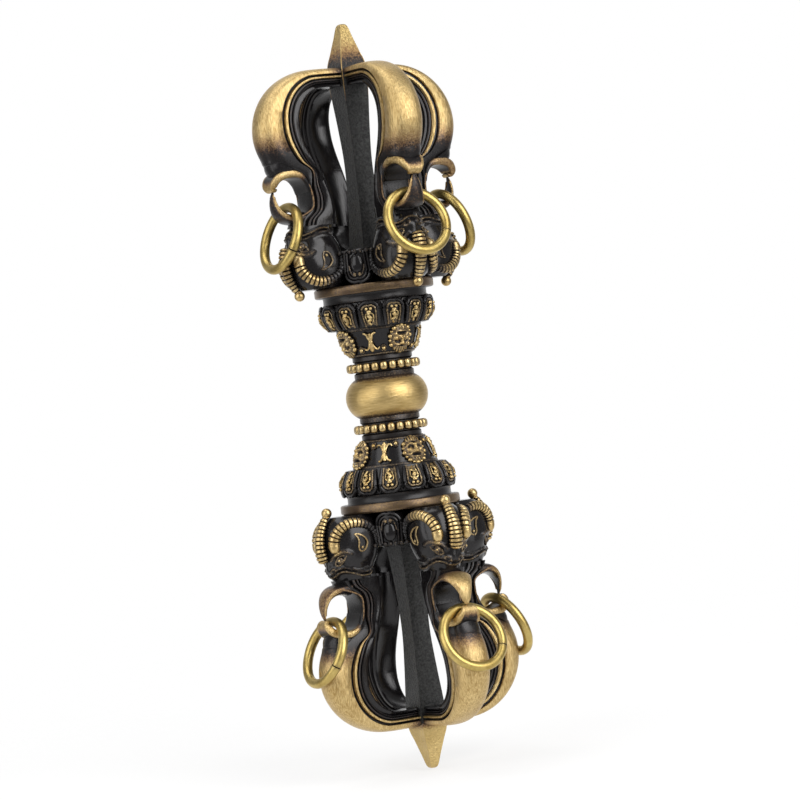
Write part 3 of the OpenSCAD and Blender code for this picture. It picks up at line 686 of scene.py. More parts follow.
def petal_cup():
    piece = Carving()
    half = CUP_FLAT / 2
    soft = 0.6
    corners = [
        (half, half - soft), (half - soft, half), (soft - half, half), (-half, half - soft),
        (-half, soft - half), (soft - half, -half), (half - soft, -half), (half, soft - half)
    ]
    levels = ((1, CUP_Z), (1, SPIKE_Z - 0.4), (0.96, SPIKE_Z))
    piece.grid([[(k * x, k * y, z) for x, y in corners] for k, z in levels], 0.0, caps=True)
    panel = cartouche()
    turn = np.radians(np.linspace(-180, 180, 40, endpoint=False))
    ahead = BLOCK_HALF_D * np.sign(np.cos(turn)) * np.abs(np.cos(turn)) ** 0.6
    aside = BLOCK_HALF_W * np.sign(np.sin(turn)) * np.abs(np.sin(turn)) ** 0.7
    for side in range(4):
        middle = 90 * side + 45
        a = math.radians(middle)
        block = []
        for share, swell in ((0.0, 0.8), (0.08, 0.95), (0.25, 1.0), (0.8, 1.0), (0.95, 0.94), (1.0, 0.85)):
            deep, wide = BLOCK_REACH + swell * ahead, swell * aside
            x, y = deep * math.cos(a) - wide * math.sin(a), deep * math.sin(a) + wide * math.cos(a)
            block.append(np.stack([x, y, np.full_like(x, lerp(CUP_Z + 0.2, SPIKE_Z, share))], -1))
        piece.grid(block, 0.0, caps=True)
        piece.include(panel, on_cup(middle))
    return piece


# Centre prong

SPIKE_FOOT = 5.5
SPIKE_WAIST = 3.85
CROWN_FLAT = 3.75
CROWN_T = 5.2
# Heights above the crown between which the black of the spike gives way to the rubbed tip
TIP_FADE = {"upper": (-5.0, 16.0), "lower": (-2.5, 3.0)}
# Heights from the crown between which the ridges below it grow bright, partly from rubbing and partly as a
# painted highlight along them
RIDGE_WEAR_AND_GLINT_FADE = {"upper": (-14.0, -2.0), "lower": (-2.0, 2.0)}


def centre_prong(end):
    """Square, waisted spike with slightly hollow faces; its four ridges catch the rubbing, and their gilt is
    partly a painted highlight.
    """
    piece = Carving()
    corner = CROWN_FLAT * math.sqrt(2)
    free_h = CROWN_Z - CROWN_T - SPIKE_Z
    tip_len = TIP_Z - CROWN_Z
    stations = [
        (SPIKE_Z, SPIKE_FOOT, 1.0),
        (SPIKE_Z + 0.12 * free_h, lerp(SPIKE_FOOT, SPIKE_WAIST, 0.4), 0.93),
        (SPIKE_Z + 0.3 * free_h, lerp(SPIKE_FOOT, SPIKE_WAIST, 0.82), 0.9),
        (SPIKE_Z + 0.54 * free_h, SPIKE_WAIST, 0.9),
        (SPIKE_Z + 0.76 * free_h, lerp(SPIKE_WAIST, corner, 0.4), 0.9),
        (SPIKE_Z + free_h - 0.3, corner, 0.99),
        (CROWN_Z + 0.3, corner, 0.99),
        (CROWN_Z + 0.35 * tip_len, 0.76 * corner, 0.95),
        (CROWN_Z + 0.68 * tip_len, 0.5 * corner, 0.95),
        (CROWN_Z + 0.9 * tip_len, 0.34 * corner, 0.98),
        (TIP_Z - 0.3, 0.24 * corner, 1.0),
        (TIP_Z, 0.12 * corner, 1.0)
    ]
    across = np.array([0.0, 0.04, 0.12, 0.3, 0.5, 0.7, 0.88, 0.96])
    rows, gilt = [], []
    for z, reach, full in spline(stations, 6):
        row, bright = [], []
        point = 0.98 * ramp(*TIP_FADE[end], z - CROWN_Z)
        # The ridges' gilt is partly wear and partly a painted highlight along each ridge
        ridge_wear_and_glint = 0.75 * ramp(*RIDGE_WEAR_AND_GLINT_FADE[end], z - CROWN_Z)
        for face in range(4):
            a, b = (polar(reach, 45 + 90 * (face + k), z) for k in (0, 1))
            for t in across:
                hollow = 1 - (1 - full) * math.sin(math.pi * t)
                p = lerp(a, b, t)
                row.append((p[0] * hollow, p[1] * hollow, z))
                bright.append(max(point, ridge_wear_and_glint) if t == 0 else point)
        rows.append(row)
        gilt.append(bright)
    piece.grid(rows, np.array(gilt), caps=True)
    return piece


# Makara head

CREST_REACH = 27.6
# The heads of the upper end were rubbed less
HEAD_RUB = {"upper": 0.68, "lower": 1.0}
# Skull at shares of its height from the plate: half width, reach of the face, and reach of the nape
SKULL = spline(
    [
        (0.0, 4.9, 22.0, 10.0), (0.08, 6.2, 23.3, 10.0), (0.2, 7.0, 24.3, 10.0), (0.35, 7.3, 24.8, 10.0),
        (0.5, 7.15, 24.8, 10.1), (0.65, 6.6, 24.4, 10.7), (0.78, 5.8, 23.9, 11.8), (0.9, 4.9, 23.2, 12.8),
        (1.0, 4.4, 22.7, 12.8)
    ], 10
)
SKULL_MID = 15.5
SKULL_SQUARE = 0.84


def skull(degrees, height, lift=0.0):
    """Place on the skull: degrees from the middle of the face, height from the plate, and lift off it."""
    share = np.asarray(height, float) / HEAD_H
    half_w = np.interp(share, SKULL[:, 0], SKULL[:, 1])
    front = np.interp(share, SKULL[:, 0], SKULL[:, 2])
    c, s = np.cos(np.radians(degrees)), np.sin(np.radians(degrees))
    nape = np.interp(share, SKULL[:, 0], SKULL[:, 3])
    deep = np.where(c > 0, front - SKULL_MID, SKULL_MID - nape)
    x = SKULL_MID + deep * np.sign(c) * np.abs(c) ** SKULL_SQUARE + lift * c
    y = half_w * np.sign(s) * np.abs(s) ** SKULL_SQUARE + lift * s
    return np.stack(np.broadcast_arrays(x, y, CUP_Z + height), -1)


def face_path(points, lift=0.0):
    return [skull(a, h, lift) for a, h in points]


# Carving on one half of the face: path over the skull in degrees and height, then width, height and gilt
LIP = [(0, 15.8), (12, 15.6), (27, 14.7), (44, 14.4), (62, 15.0), (82, 15.9), (100, 15.8), (112, 15.0)]
HEAD_MARKS = [
    ([(0, 14.4)], 2.2, 0.75, 0.04),
    ([(0, 10.5), (0, 13.8)], 1.0, 0.45, 0.1),
    ([(78, 12.6)], 2.8, 0.45, 0.04),
    ([(46, 9.6)], 2.2, 0.4, 0.16),
    ([(36, 11.3)], 1.4, -0.7, 0.0),
    ([(14, 11.2), (24, 10.2), (38, 9.3), (52, 9.2), (61, 9.8)], 0.45, 0.6, 0.3),
    ([(33, 9.2)], 0.9, 0.2, 0.7),
    ([(8, 14.7), (13, 13.7), (21, 13.5), (22, 14.2)], 0.42, 0.5, 0.35),
    ([(15, 14.2)], 0.4, -0.5, 0.0),
    (LIP, 0.36, 0.6, 0.42),
    ([(a, h - 0.5) for a, h in LIP], 0.22, -0.35, 0.0),
    ([(a, h - 0.95) for a, h in LIP[1:]], 0.3, 0.4, 0.3),
    ([(62, 13.6), (76, 14.3), (92, 13.9)], 0.3, 0.35, 0.2),
    ([(88, 7.0)], 2.3, -0.3, 0.03)
]
HORN = [(33, 9.3), (30, 7.2), (34, 4.8), (49, 2.6), (72, 1.8), (93, 2.9), (108, 5.2), (113, 8.4)]
EAR = [(71, 4.8), (83, 5.4), (89, 7.1), (86, 9.0), (80, 9.5), (76, 8.7), (77, 7.0), (75, 5.7)]
EYE = (36, 11.3)
LIDS = [(23, 12.3), (29, 11.1), (36, 10.3), (44, 10.0), (51, 10.2), (45, 11.4), (37, 12.3), (29, 12.7)]


def ribbed(piece, path, radii, ribs, flat, gilt, plain=0.0):
    """Bar along a path, cut into ribs by thin grooves, with rounded ends and a plain root."""
    steps, sides = 8, 14
    count = ribs * steps
    dense = spline(path, 24)
    length = np.concatenate([[0], np.cumsum(np.linalg.norm(np.diff(dense, axis=0), axis=1))])
    at = np.linspace(0, length[-1], count + 1)
    points = np.stack([np.interp(at, length, dense[:, k]) for k in range(3)], -1)
    share = np.linspace(0, 1, count + 1)
    wave = np.clip(1.55 * np.abs(np.sin(math.pi * np.arange(count + 1) / steps)), 0, 1)
    wave = np.maximum(wave, 1 - ramp(plain - 0.03, plain, share))
    thick = np.interp(share, np.linspace(0, 1, len(radii)), radii)
    ends = np.sqrt(np.clip(1 - (np.abs(share - 0.5) * 2) ** 14, 0.03, 1))
    radius = thick * (0.76 + 0.24 * wave) * ends
    piece.tube(points, radius, gilt(share) * (0.05 + 0.95 * wave**1.4), sides, flat)
    # The rubbing reached the outer side of the ribs alone
    rim = piece.points[-1].reshape(count + 1, sides, 3) - points[:, None]
    outward = points * (1, 1, 0) - (SKULL_MID, 0, 0)
    length = np.linalg.norm(rim, axis=-1) * np.linalg.norm(outward, axis=-1)[:, None]
    facing = (rim * outward[:, None]).sum(-1) / length
    piece.gilt[-1] = piece.gilt[-1] * lerp(0.3, 1, ramp(-0.5, 0.3, facing)).reshape(-1)


def makara(end):
    """Ram-horned makara head: skull with its carved face, ribbed horns and crest, ears and eyes."""
    piece = Carving()
    rub = HEAD_RUB[end]
    round_face = np.linspace(-180, 180, 132, endpoint=False)
    up_face = np.linspace(0, HEAD_H, 60)
    rows = skull(round_face[None, :], up_face[:, None])
    outward = polar(1, round_face, 0)[None]
    marks = [(face_path(path), width, height, shine) for path, width, height, shine in HEAD_MARKS]
    points, gilt = carve(rows, outward, marks, 0.04, 1)
    piece.grid(points, gilt, caps=True)

    crest = [
        (CREST_REACH - 4.6, 0, CUP_Z - 0.6), (CREST_REACH - 3.0, 0, CUP_Z + 0.1 * HEAD_H),
        (CREST_REACH - 1.7, 0, CUP_Z + 0.3 * HEAD_H), (CREST_REACH - 1.5, 0, CUP_Z + 0.5 * HEAD_H),
        (CREST_REACH - 2.1, 0, CUP_Z + 0.7 * HEAD_H)
    ]
    ribbed(piece, crest, (0.95, 1.15, 1.35, 1.5, 1.5), 13, 1.25, lambda s: np.full_like(s, 0.85 * rub))
    piece.ball((CREST_REACH - 4.7, 0, CUP_Z - 1.3), 1.4, 1.0)
    piece.ball((CREST_REACH - 4.5, 0, CUP_Z - 0.2), (1.0, 1.1, 0.4), 0.9)

    for side in (-1, 1):
        flip = np.array((1, side, 1))
        # The rubbing follows the front of the horn and leaves its tip black
        ribbed(
            piece, np.array(face_path(HORN, 0.5)) * flip, (1.6, 1.5, 1.3, 1.0, 0.65), 20, 1.0,
            lambda s: rub * (0.88 - 0.76 * ramp(0.42, 0.75, s)), plain=0.13
        )
        rim = spline(np.array(face_path(EAR, 0.12)) * flip, 6, closed=True)
        piece.tube(np.vstack([rim, rim[:1]]), 0.24, 0.48 * rub, 7, across=(1, 0, 0))
        piece.ball(skull(81.5, 8.5, 0.1) * flip, 0.42, 0.5, sides=10, rings=7)
        lids = spline(np.array(face_path(LIDS, 0.05)) * flip, 6, closed=True)
        piece.tube(np.vstack([lids, lids[:1]]), 0.27, 0.34, 8, across=(1, 0, 0))
        piece.ball(skull(*EYE, -0.3) * flip, 1.05, 0.3, sides=16, rings=11)
        # The small bright ball on the eyeball is a painted highlight, the eye's glint
        piece.ball(skull(*EYE, 0.62) * flip, 0.3, 0.7, sides=10, rings=7)
    return piece


# Outer prong

BELLY_REACH = 30.3
BELLY_H = 25.0
BELLY_HALF_W = 4.75
CROWN_HALF_W = 3.5
FOOT_HALF_W = 4.2
INNER_HALF_W = 3.3
INNER_REACH = 18.1
FOOT_REACH = 10.5
CREST_R = 12.0
INNER_R = 8.8
SKIN_T = 5.9
CROWN_SKIN = 1.6
GROOVE_RISE = 1.5
INNER_RISE = 2.0
LIP_H = 3.9
HOOK_H = 12.0
EYE_BACK = INNER_REACH - 0.2
EYE_FRONT = 27.2
EYE_MID = (LIP_H + HOOK_H) / 2
ARM_HALF_W = FOOT_HALF_W - 0.2
EYE_SIDES = 24


def crest_line(a):
    return on_ellipse((CREST_R, BELLY_H), (BELLY_REACH - CREST_R, CAGE_H - BELLY_H), a)


def groove_line(a):
    return on_ellipse(
        (CREST_R, BELLY_H + GROOVE_RISE),
        (BELLY_REACH - SKIN_T - CREST_R, CAGE_H - CROWN_SKIN - BELLY_H - GROOVE_RISE), a
    )


def inner_line(a):
    return on_ellipse(
        (INNER_REACH - INNER_R, BELLY_H + INNER_RISE), (INNER_R, CAGE_H - CROWN_T - BELLY_H - INNER_RISE), a
    )


def inner_sweep(s):
    top, pull = (INNER_REACH, BELLY_H + INNER_RISE), (INNER_REACH, BELLY_H - 6)
    return bezier([top, pull, (FOOT_REACH, 0.5 * BELLY_H), (FOOT_REACH, 0)], s)


# Flank of a prong from the edge of its skin inwards: depth, inset from the skin's edge, and gilt
# The gilt of the two ridges, from the ridge point on, is partly a painted highlight along their edges
FLANK = [
    (0.0, 0.0, 1.0), (0.15, 0.15, 0.8), (0.3, 1.0, 0.0), (0.95, 1.05, 0.0), (1.1, 0.5, 0.7), (1.3, 0.15, 1.0),
    (1.95, 0.15, 1.0), (2.2, 0.45, 0.7), (2.4, 1.1, 0.0), (2.8, 1.2, 0.0), (2.9, 0.7, 0.2),
    (3.3, 0.65, 0.2), (3.4, 1.25, 0.0), (3.8, 1.3, 0.0), (3.9, 0.85, 0.16), (4.3, 0.9, 0.16), (4.4, 1.45, 0.0)
]
# Depth that the flank is drawn for; on a thinner bar its lines are squeezed together
FLANK_DEPTH = 6.4
# Points of the flank that make its bead, and the first point of its two ridges
BEAD_POINTS = (4, 7)
RIDGE_POINT = 10
SKIN_ANGLES = np.radians([0, 9, 18, 28, 38, 48, 58, 68, 78])


def prong_section(crest, groove, inner, half_w, inner_half_w):
    """Half outline of a prong in (reach, height, half width), from its crest to its inner face."""
    crest, groove, inner = (np.asarray(p, float) for p in (crest, groove, inner))
    depth = np.linalg.norm(inner - groove)
    squeeze = min(1.0, depth / FLANK_DEPTH)
    outline = []
    for a in SKIN_ANGLES:
        # A skin with a flat crown and soft shoulders
        outline.append([*lerp(groove, crest, math.cos(a) ** 0.62), half_w * math.sin(a) ** 0.9])
    for mm, inset, _ in FLANK:
        outline.append([*lerp(groove, inner, mm * squeeze / depth), half_w - inset])
    for share, width in ((0.86, inner_half_w + 0.1), (0.97, inner_half_w), (1.0, inner_half_w - 0.4)):
        outline.append([*lerp(groove, inner, share), width])
    outline.append([*lerp(groove, inner, 0.95), inner_half_w - 0.9])
    outline.append([*lerp(groove, inner, 0.92), 0.0])
    return outline


def prong_bar():
    """Stations of the bar from its foot, up past the eye and the belly, to the crown."""

    def foot(crest, groove, s):
        return prong_section(crest, groove, inner_sweep(s), FOOT_HALF_W, INNER_HALF_W)

    def belly(crest_a, groove_a, s, half_w):
        return prong_section(crest_line(crest_a), groove_line(groove_a), inner_sweep(s), half_w, INNER_HALF_W)

    stations = [
        foot((EYE_BACK + 4.6, 0), (EYE_BACK + 3.4, 0), 1),
        foot((EYE_BACK + 3.4, 0.6 * LIP_H), (EYE_BACK + 2.6, 0.45 * LIP_H), 0.95),
        foot((EYE_BACK + 0.9, LIP_H + 0.7), (EYE_BACK + 0.2, LIP_H), 0.88),
        foot((EYE_BACK, EYE_MID - 0.8), (EYE_BACK - 0.5, EYE_MID - 1), 0.78),
        foot((EYE_BACK + 0.3, HOOK_H - 2), (EYE_BACK - 0.3, HOOK_H - 1.8), 0.66),
        foot((EYE_BACK + 2.4, HOOK_H + 1), groove_line(-65), 0.54),
        belly(-32, -46, 0.42, lerp(FOOT_HALF_W, BELLY_HALF_W, 0.5)),
        belly(-24, -30, 0.28, BELLY_HALF_W),
        belly(-12, -15, 0.14, BELLY_HALF_W)
    ]
    crown_inner_w = CROWN_HALF_W - 0.8
    for a in range(0, 91, 15):
        stations.append(
            prong_section(
                crest_line(a), groove_line(a), inner_line(a),
                lerp(BELLY_HALF_W, CROWN_HALF_W, a / 90), lerp(INNER_HALF_W, crown_inner_w, a / 90)
            )
        )
    stations.append(
        prong_section(
            (CROWN_FLAT, CAGE_H), (CROWN_FLAT, CAGE_H - CROWN_SKIN), (CROWN_FLAT, CAGE_H - CROWN_T),
            CROWN_HALF_W, crown_inner_w
        )
    )
    return np.array(stations)


def eye_crown(half_w, thick):
    """How far the side of the hole is crowned, at that half width and thickness."""
    return min(2 * (half_w / 4.4) ** 2, 0.6 * thick)


def eye_section(hole, outer, half_w):
    """Outline of the eye's arm or hook in (reach, across, height), crowned on the side of the hole."""
    hole, outer = np.asarray(hole, float), np.asarray(outer, float)
    thick = np.linalg.norm(outer - hole)
    crown = eye_crown(half_w, thick)
    row = []
    for a in np.linspace(0, 2 * math.pi, EYE_SIDES, endpoint=False):
        c = math.cos(a)
        depth = lerp(crown, thick, c**0.7) if c >= 0 else crown * (1 - abs(c))
        p = lerp(hole, outer, depth / thick)
        row.append((p[0], half_w * math.sin(a), p[1]))
    return row


def ribbon(piece, path, half_w, thick, edge, face):
    """Band along a path in (reach, height above the mouth), with the gilt of its edges and of its face."""
    path = np.asarray(path, float)
    ahead = np.gradient(path, axis=0)
    ahead /= np.linalg.norm(ahead, axis=1)[:, None]
    out = np.stack([ahead[:, 1], -ahead[:, 0]], -1)
    turn = np.linspace(0, 2 * math.pi, 20, endpoint=False)
    across = np.sign(np.sin(turn)) * np.abs(np.sin(turn)) ** 0.4
    lift = np.sign(np.cos(turn)) * np.abs(np.cos(turn)) ** 0.8
    # The band is thickest along its edges, which are raised to a rim
    swell = 0.6 + 0.4 * np.abs(across) ** 4
    rows = []
    for p, o, w, t in zip(path, out, half_w, thick):
        flat = p[None] + (t * lift * swell)[:, None] * o[None]
        rows.append(np.stack([flat[:, 0], w * across, MOUTH_Z + flat[:, 1]], -1))
    at_edge = ramp(0.6, 0.85, np.abs(across))
    piece.grid(rows, lerp(face[:, None], edge[:, None], at_edge[None]), caps=True)


def eye_edge(hole, outer, half_w):
    """Edge of that outline on one side."""
    hole, outer = np.asarray(hole, float), np.asarray(outer, float)
    thick = np.linalg.norm(outer - hole)
    p = lerp(hole, outer, eye_crown(half_w, thick) / thick)
    return np.array((p[0], half_w, p[1]))


# Stations of the arm and of the hook: the side of the hole, the outer side, and half the width
ARM = [
    ((EYE_BACK + 2, LIP_H + 0.3), (EYE_BACK + 2, 0.4), ARM_HALF_W),
    ((EYE_BACK + 4.6, LIP_H - 0.15), (EYE_BACK + 5.8, 1.0), ARM_HALF_W),
    ((EYE_FRONT - 2.6, LIP_H + 0.2), (EYE_FRONT - 1.3, 2.1), 0.86 * ARM_HALF_W),
    ((EYE_FRONT - 1, LIP_H + 1.3), (EYE_FRONT + 0.3, 3.9), 0.62 * ARM_HALF_W),
    ((EYE_FRONT - 0.1, EYE_MID - 1.1), (EYE_FRONT + 0.9, EYE_MID - 1.7), 0.42 * ARM_HALF_W),
    ((EYE_FRONT + 0.1, EYE_MID + 0.6), (EYE_FRONT + 0.8, EYE_MID + 0.4), 0.25 * ARM_HALF_W),
    ((EYE_FRONT - 0.1, HOOK_H - 2.2), (EYE_FRONT + 0.3, HOOK_H - 2.2), 0.1 * ARM_HALF_W)
]
# Root of the hook, which carries on the line of the belly
HOOK_BODY = [
    ((EYE_FRONT - 2.2, HOOK_H + 1.4), (EYE_FRONT - 0.1, HOOK_H + 1.6), 0.6 * FOOT_HALF_W),
    ((EYE_FRONT - 4.2, HOOK_H + 2.0), (EYE_FRONT + 0.8, HOOK_H + 3.7), 0.92 * FOOT_HALF_W),
    ((EYE_FRONT - 6.2, HOOK_H + 2.4), (EYE_FRONT + 1.1, HOOK_H + 6.4), BELLY_HALF_W - 0.2)
]
# Middle of the hook's band: over the top of the eye, then down and in to its curl
SCROLL = [
    (EYE_BACK + 0.1, HOOK_H - 3.0), (EYE_BACK + 0.7, HOOK_H - 0.7), (EYE_BACK + 2.1, HOOK_H + 1.3),
    (EYE_BACK + 4.2, HOOK_H + 2.1), (EYE_FRONT - 2.8, HOOK_H + 2.1), (EYE_FRONT - 0.7, HOOK_H + 1.3),
    (EYE_FRONT + 0.4, HOOK_H + 0.0), (EYE_FRONT + 0.6, HOOK_H - 1.2), (EYE_FRONT + 0.1, HOOK_H - 1.8),
    (EYE_FRONT - 0.6, HOOK_H - 1.5)
]
# Heights above the mouth between which the rubbed skin fades to black
FADE = {"upper": (15.0, 32.0), "lower": (12.5, 26.0)}
# The same for the bead on the flank, which stays bright further down
BEAD_FADE = (11.0, 24.0)
# Each side was rubbed by hand, so the brass begins a little higher or lower on it
RUB_SHIFT = {
    "upper": {"east": 0.0, "north": 0.8, "west": 1.2, "south": -2.5},
    "lower": {"east": 0.5, "north": 0.8, "west": 2.6, "south": 1.6}
}
# Gilt of the arms: those of the upper end stay dark, and at the lower end they were rubbed unevenly
ARM_GILT = {
    "upper": {"east": 0.22, "north": 0.22, "west": 0.22, "south": 0.22},
    "lower": {"east": 0.4, "north": 0.6, "west": 0.38, "south": 0.85}
}
# Gilt of the edges of the hook's band
HOOK_GILT = {
    "upper": {"east": 0.42, "north": 0.6, "west": 0.62, "south": 0.7},
    "lower": {"east": 0.6, "north": 0.7, "west": 0.75, "south": 0.85}
}


def prong(end, side):
    """Bowed prong with its eye: the bar, the arm that rises from the lip, and the hook that meets it."""
    piece = Carving()
    dense = spline(prong_bar(), 6)
    skin = len(SKIN_ANGLES)
    inner = dense.shape[1] - skin - len(FLANK)
    tint = np.concatenate([np.ones(skin), [g for _, _, g in FLANK], np.zeros(inner)])
    height = dense[..., 1]

    def rubbed(h):
        return lerp(0.1, 1, ramp(*FADE[end], h - RUB_SHIFT[end][side]))

    gilt = tint * rubbed(height) * (1 - 0.75 * ramp(0.93, 1.0, np.linspace(0, 1, len(dense)))[:, None])
    bead = slice(skin + BEAD_POINTS[0], skin + BEAD_POINTS[1] + 1)
    gilt[:, bead] = tint[bead] * lerp(0.2, 1, ramp(*BEAD_FADE, height[:, bead]))
    # The two ridges beside the bead keep a dull line all the way: partly wear, and partly a painted highlight
    # along their edges
    gilt[:, skin + RIDGE_POINT :] = tint[skin + RIDGE_POINT :]
    near = np.stack([dense[..., 0], dense[..., 2], MOUTH_Z + dense[..., 1]], -1)
    far = near[:, -2:0:-1] * (1, -1, 1)
    piece.grid(np.concatenate([near, far], 1), np.concatenate([gilt, gilt[:, -2:0:-1]], 1), caps=True)

    up = np.array((0, 0, MOUTH_Z))
    arm = spline([eye_section(*s) for s in ARM], 6)
    turn = np.linspace(0, 2 * math.pi, EYE_SIDES, endpoint=False)
    outside = np.clip(np.cos(turn), 0, 1) ** 0.5
    edges = ramp(0.75, 0.97, np.abs(np.sin(turn)))
    climb = ramp(0.1, 0.35, np.linspace(0, 1, len(arm)))[:, None]
    worn = np.maximum(ARM_GILT[end][side] * outside, 0.6 * edges)
    piece.grid(arm + up, worn[None] * lerp(0.4, 1, climb), caps=True)
    hook = spline([eye_section(*s) for s in HOOK_BODY], 6)
    piece.grid(hook + up, rubbed(hook[..., 2]), caps=True)

    scroll = spline(SCROLL, 8)
    share = np.linspace(0, 1, len(scroll))
    taper = np.interp(share, (0, 0.35, 0.55, 0.7, 0.82, 1), (1.0, 1.04, 0.92, 0.68, 0.48, 0.35))
    thick = np.interp(share, (0, 0.2, 0.4, 0.75, 0.88, 1), (0.3, 1.0, 1.75, 1.5, 0.85, 0.3))
    edge = HOOK_GILT[end][side] * ramp(0.05, 0.35, share)
    ribbon(piece, scroll, FOOT_HALF_W * taper, thick, edge, lerp(0.15, 0.7, ramp(0.6, 0.8, share)))
    # Fine bead round the edge of the eye, from the hook down and along the arm
    rim = [
        (EYE_BACK + 1.0, FOOT_HALF_W - 0.3, HOOK_H - 0.2),
        (EYE_BACK + 0.1, FOOT_HALF_W - 0.15, HOOK_H - 1.8),
        (EYE_BACK - 0.4, FOOT_HALF_W - 0.05, EYE_MID - 0.9),
        (EYE_BACK + 0.3, FOOT_HALF_W - 0.15, LIP_H + 0.4)
    ]
    path = spline(rim + [eye_edge(*s) + (0, -0.15, 0) for s in ARM[1:6]], 6)
    along = np.linspace(0, 1, len(path))
    for flip in (-1, 1):
        piece.tube(path * (1, flip, 1) + up, 0.22 + 0.1 * along, 0.34 + 0.18 * ramp(0.4, 0.7, along), 8)
    return piece


# Rings

RING_R = 8.5
WIRE_R = 1.3
RING_CUT = 0.25
CUT_PLACE = 65
RING_STEPS = 121
# How a ring hangs: reach and height of its wire in the eye, and its lean in degrees
HANG = {"upper": (23.3, 52.5, 20.31), "lower": (24.9, -57.4, 24.32)}


def split_ring(end):
    """Wire bent to a ring that doesn't quite close; the cut ends are square."""
    reach, height, lean = HANG[end]
    piece = Carving()
    gap = 2 * math.asin(RING_CUT / (2 * RING_R))
    start = math.radians(CUT_PLACE)
    turn = np.linspace(start, start + 2 * math.pi - gap, RING_STEPS)
    flat = np.stack([RING_R * np.cos(turn), RING_R * np.sin(turn), np.zeros_like(turn)], -1)
    tilt = Matrix.Rotation(math.radians(90 - lean), 3, "Y")
    a = math.radians(lean)
    centre = np.array((reach + RING_R * math.sin(a), 0, height - RING_R * math.cos(a)))
    path = flat @ np.array(tilt).T + centre
    normal = np.array(tilt) @ np.array((0, 0, 1))
    # The cut ends are darker
    steps = np.arange(RING_STEPS)
    shade = 1 - 0.5 * np.exp(-((np.minimum(steps, steps[::-1]) / 2.0) ** 2))
    piece.tube(path, WIRE_R, shade, 20, across=normal)
    return piece


# Tie rod: hidden inside the stack, so its solid stays and takes a drawn steel finish


def drawn_steel():
    """Mild steel rod, drawn through a die: fine lines along its length."""
    material, tree = new_material("drawn_rod_steel")
    place = add_node(tree, "TexCoord", "Object")
    stretch = add_node(tree, "Mapping", Vector=place, Scale=[1 / (mm * MM) for mm in (0.2, 0.2, 8)])
    lines = add_node(tree, "TexNoise", Vector=stretch, Scale=1.0, Detail=3.0)
    colour = add_node(tree, "Mix", 2, COLOUR_MIX, i0=lines, i6=linear("#6a6a6c"), i7=linear("#9a9a9c"))
    rough = add_node(tree, "MapRange", Value=lines, i3=0.3, i4=0.45)
    surface = {"Base Color": colour, "Roughness": rough, "Metallic": 1.0}
    shader = add_node(tree, "BsdfPrincipled", **surface)
    add_node(tree, "OutputMaterial", Surface=shader)
    return material


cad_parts["tie_rod"].data.materials.clear()
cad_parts["tie_rod"].data.materials.append(drawn_steel())


# Assembly

hub_bead().place("hub_bead", "vajra", HUB_BRASS, "bright_brass")
STACK = (
    ("bead_ring", bead_ring(), BEAD_BRASS, "bright_brass"),
    ("mask_collar", mask_collar(), CARVED_BRASS, "dark_patina"),
    ("lotus_collar", lotus_collar(), CARVED_BRASS, "dark_patina"),
    ("base_plate", base_plate(), PLATE_BRASS, "dark_brass"),
    ("petal_cup", petal_cup(), CARVED_BRASS, "dark_patina")
)
for e, end in enumerate(ENDS):
    for name, carving, material, slot in STACK:
        carving.place(f"{end}_{name}", "vajra", material, slot, e)
    centre_prong(end).place(f"{end}_centre_prong", "vajra", SPIKE_BRASS, "prong_brass", e)
    head = makara(end)
    ring = split_ring(end)
    for s, side in enumerate(SIDES):
        head.place(f"{end}_makara_{side}", "vajra", CARVED_BRASS, "dark_patina", e, s)
        prong(end, side).place(f"{end}_prong_{side}", "vajra", PRONG_BRASS, "prong_brass", e, s, 50)
        ring.place(f"{end}_ring_{side}", f"{end}_ring_{side}_body", RING_BRASS, "ring_brass", 0, s)


# Stage, light and camera

# Width of the photograph in pixels, and what a pixel covers at the object
PHOTO_PX = 800
PX_MM = 0.267
VIEW_AZIMUTH = math.radians(-31)
VIEW_ROLL = math.radians(7.04)
CAMERA_DISTANCE = 1.05
# Where the photograph has the middle of the hub, in pixels
HUB_PX = (387, 396)

towards_camera = Vector((math.sin(VIEW_AZIMUTH), -math.cos(VIEW_AZIMUTH), 0))
right = Vector((math.cos(VIEW_AZIMUTH), math.sin(VIEW_AZIMUTH), 0))
# The camera is rolled so that the top of the object leans left, as it does in the photograph
image_up = Vector((0, 0, 1)) * math.cos(VIEW_ROLL) + right * math.sin(VIEW_ROLL)
image_right = right * math.cos(VIEW_ROLL) - Vector((0, 0, 1)) * math.sin(VIEW_ROLL)


def add_camera():
    camera = bpy.data.objects.new("camera", bpy.data.cameras.new("camera"))
    bpy.context.scene.collection.objects.link(camera)
    camera.data.sensor_width = 36
    field = PHOTO_PX * PX_MM * MM
    camera.data.lens = camera.data.sensor_width * CAMERA_DISTANCE / field
    aim = (
        image_right * (PHOTO_PX / 2 - HUB_PX[0]) * PX_MM * MM
        - image_up * (PHOTO_PX / 2 - HUB_PX[1]) * PX_MM * MM
    )
    place = Matrix((image_right, image_up, towards_camera)).transposed().to_4x4()
    place.translation = aim + towards_camera * CAMERA_DISTANCE
    camera.matrix_world = place
    camera.data.clip_start = 0.01
    bpy.context.scene.camera = camera


# Softboxes: metres towards the camera, to its right and up, then size in metres and power in watts
SOFTBOXES = {
    "left_softbox": ((0.8, -0.75, 0.4), (0.7, 1.1), 5.5),
    "left_strip": ((0.3, -1.0, 0.05), (0.3, 1.0), 2),
    "right_strip": ((0.5, 0.95, 0.05), (0.3, 1.0), 1.5),
    "right_softbox": ((0.75, 0.65, 0.5), (0.7, 1.1), 11),
    "top_softbox": ((0, -0.2, 1.0), (0.7, 0.7), 4.5)
}
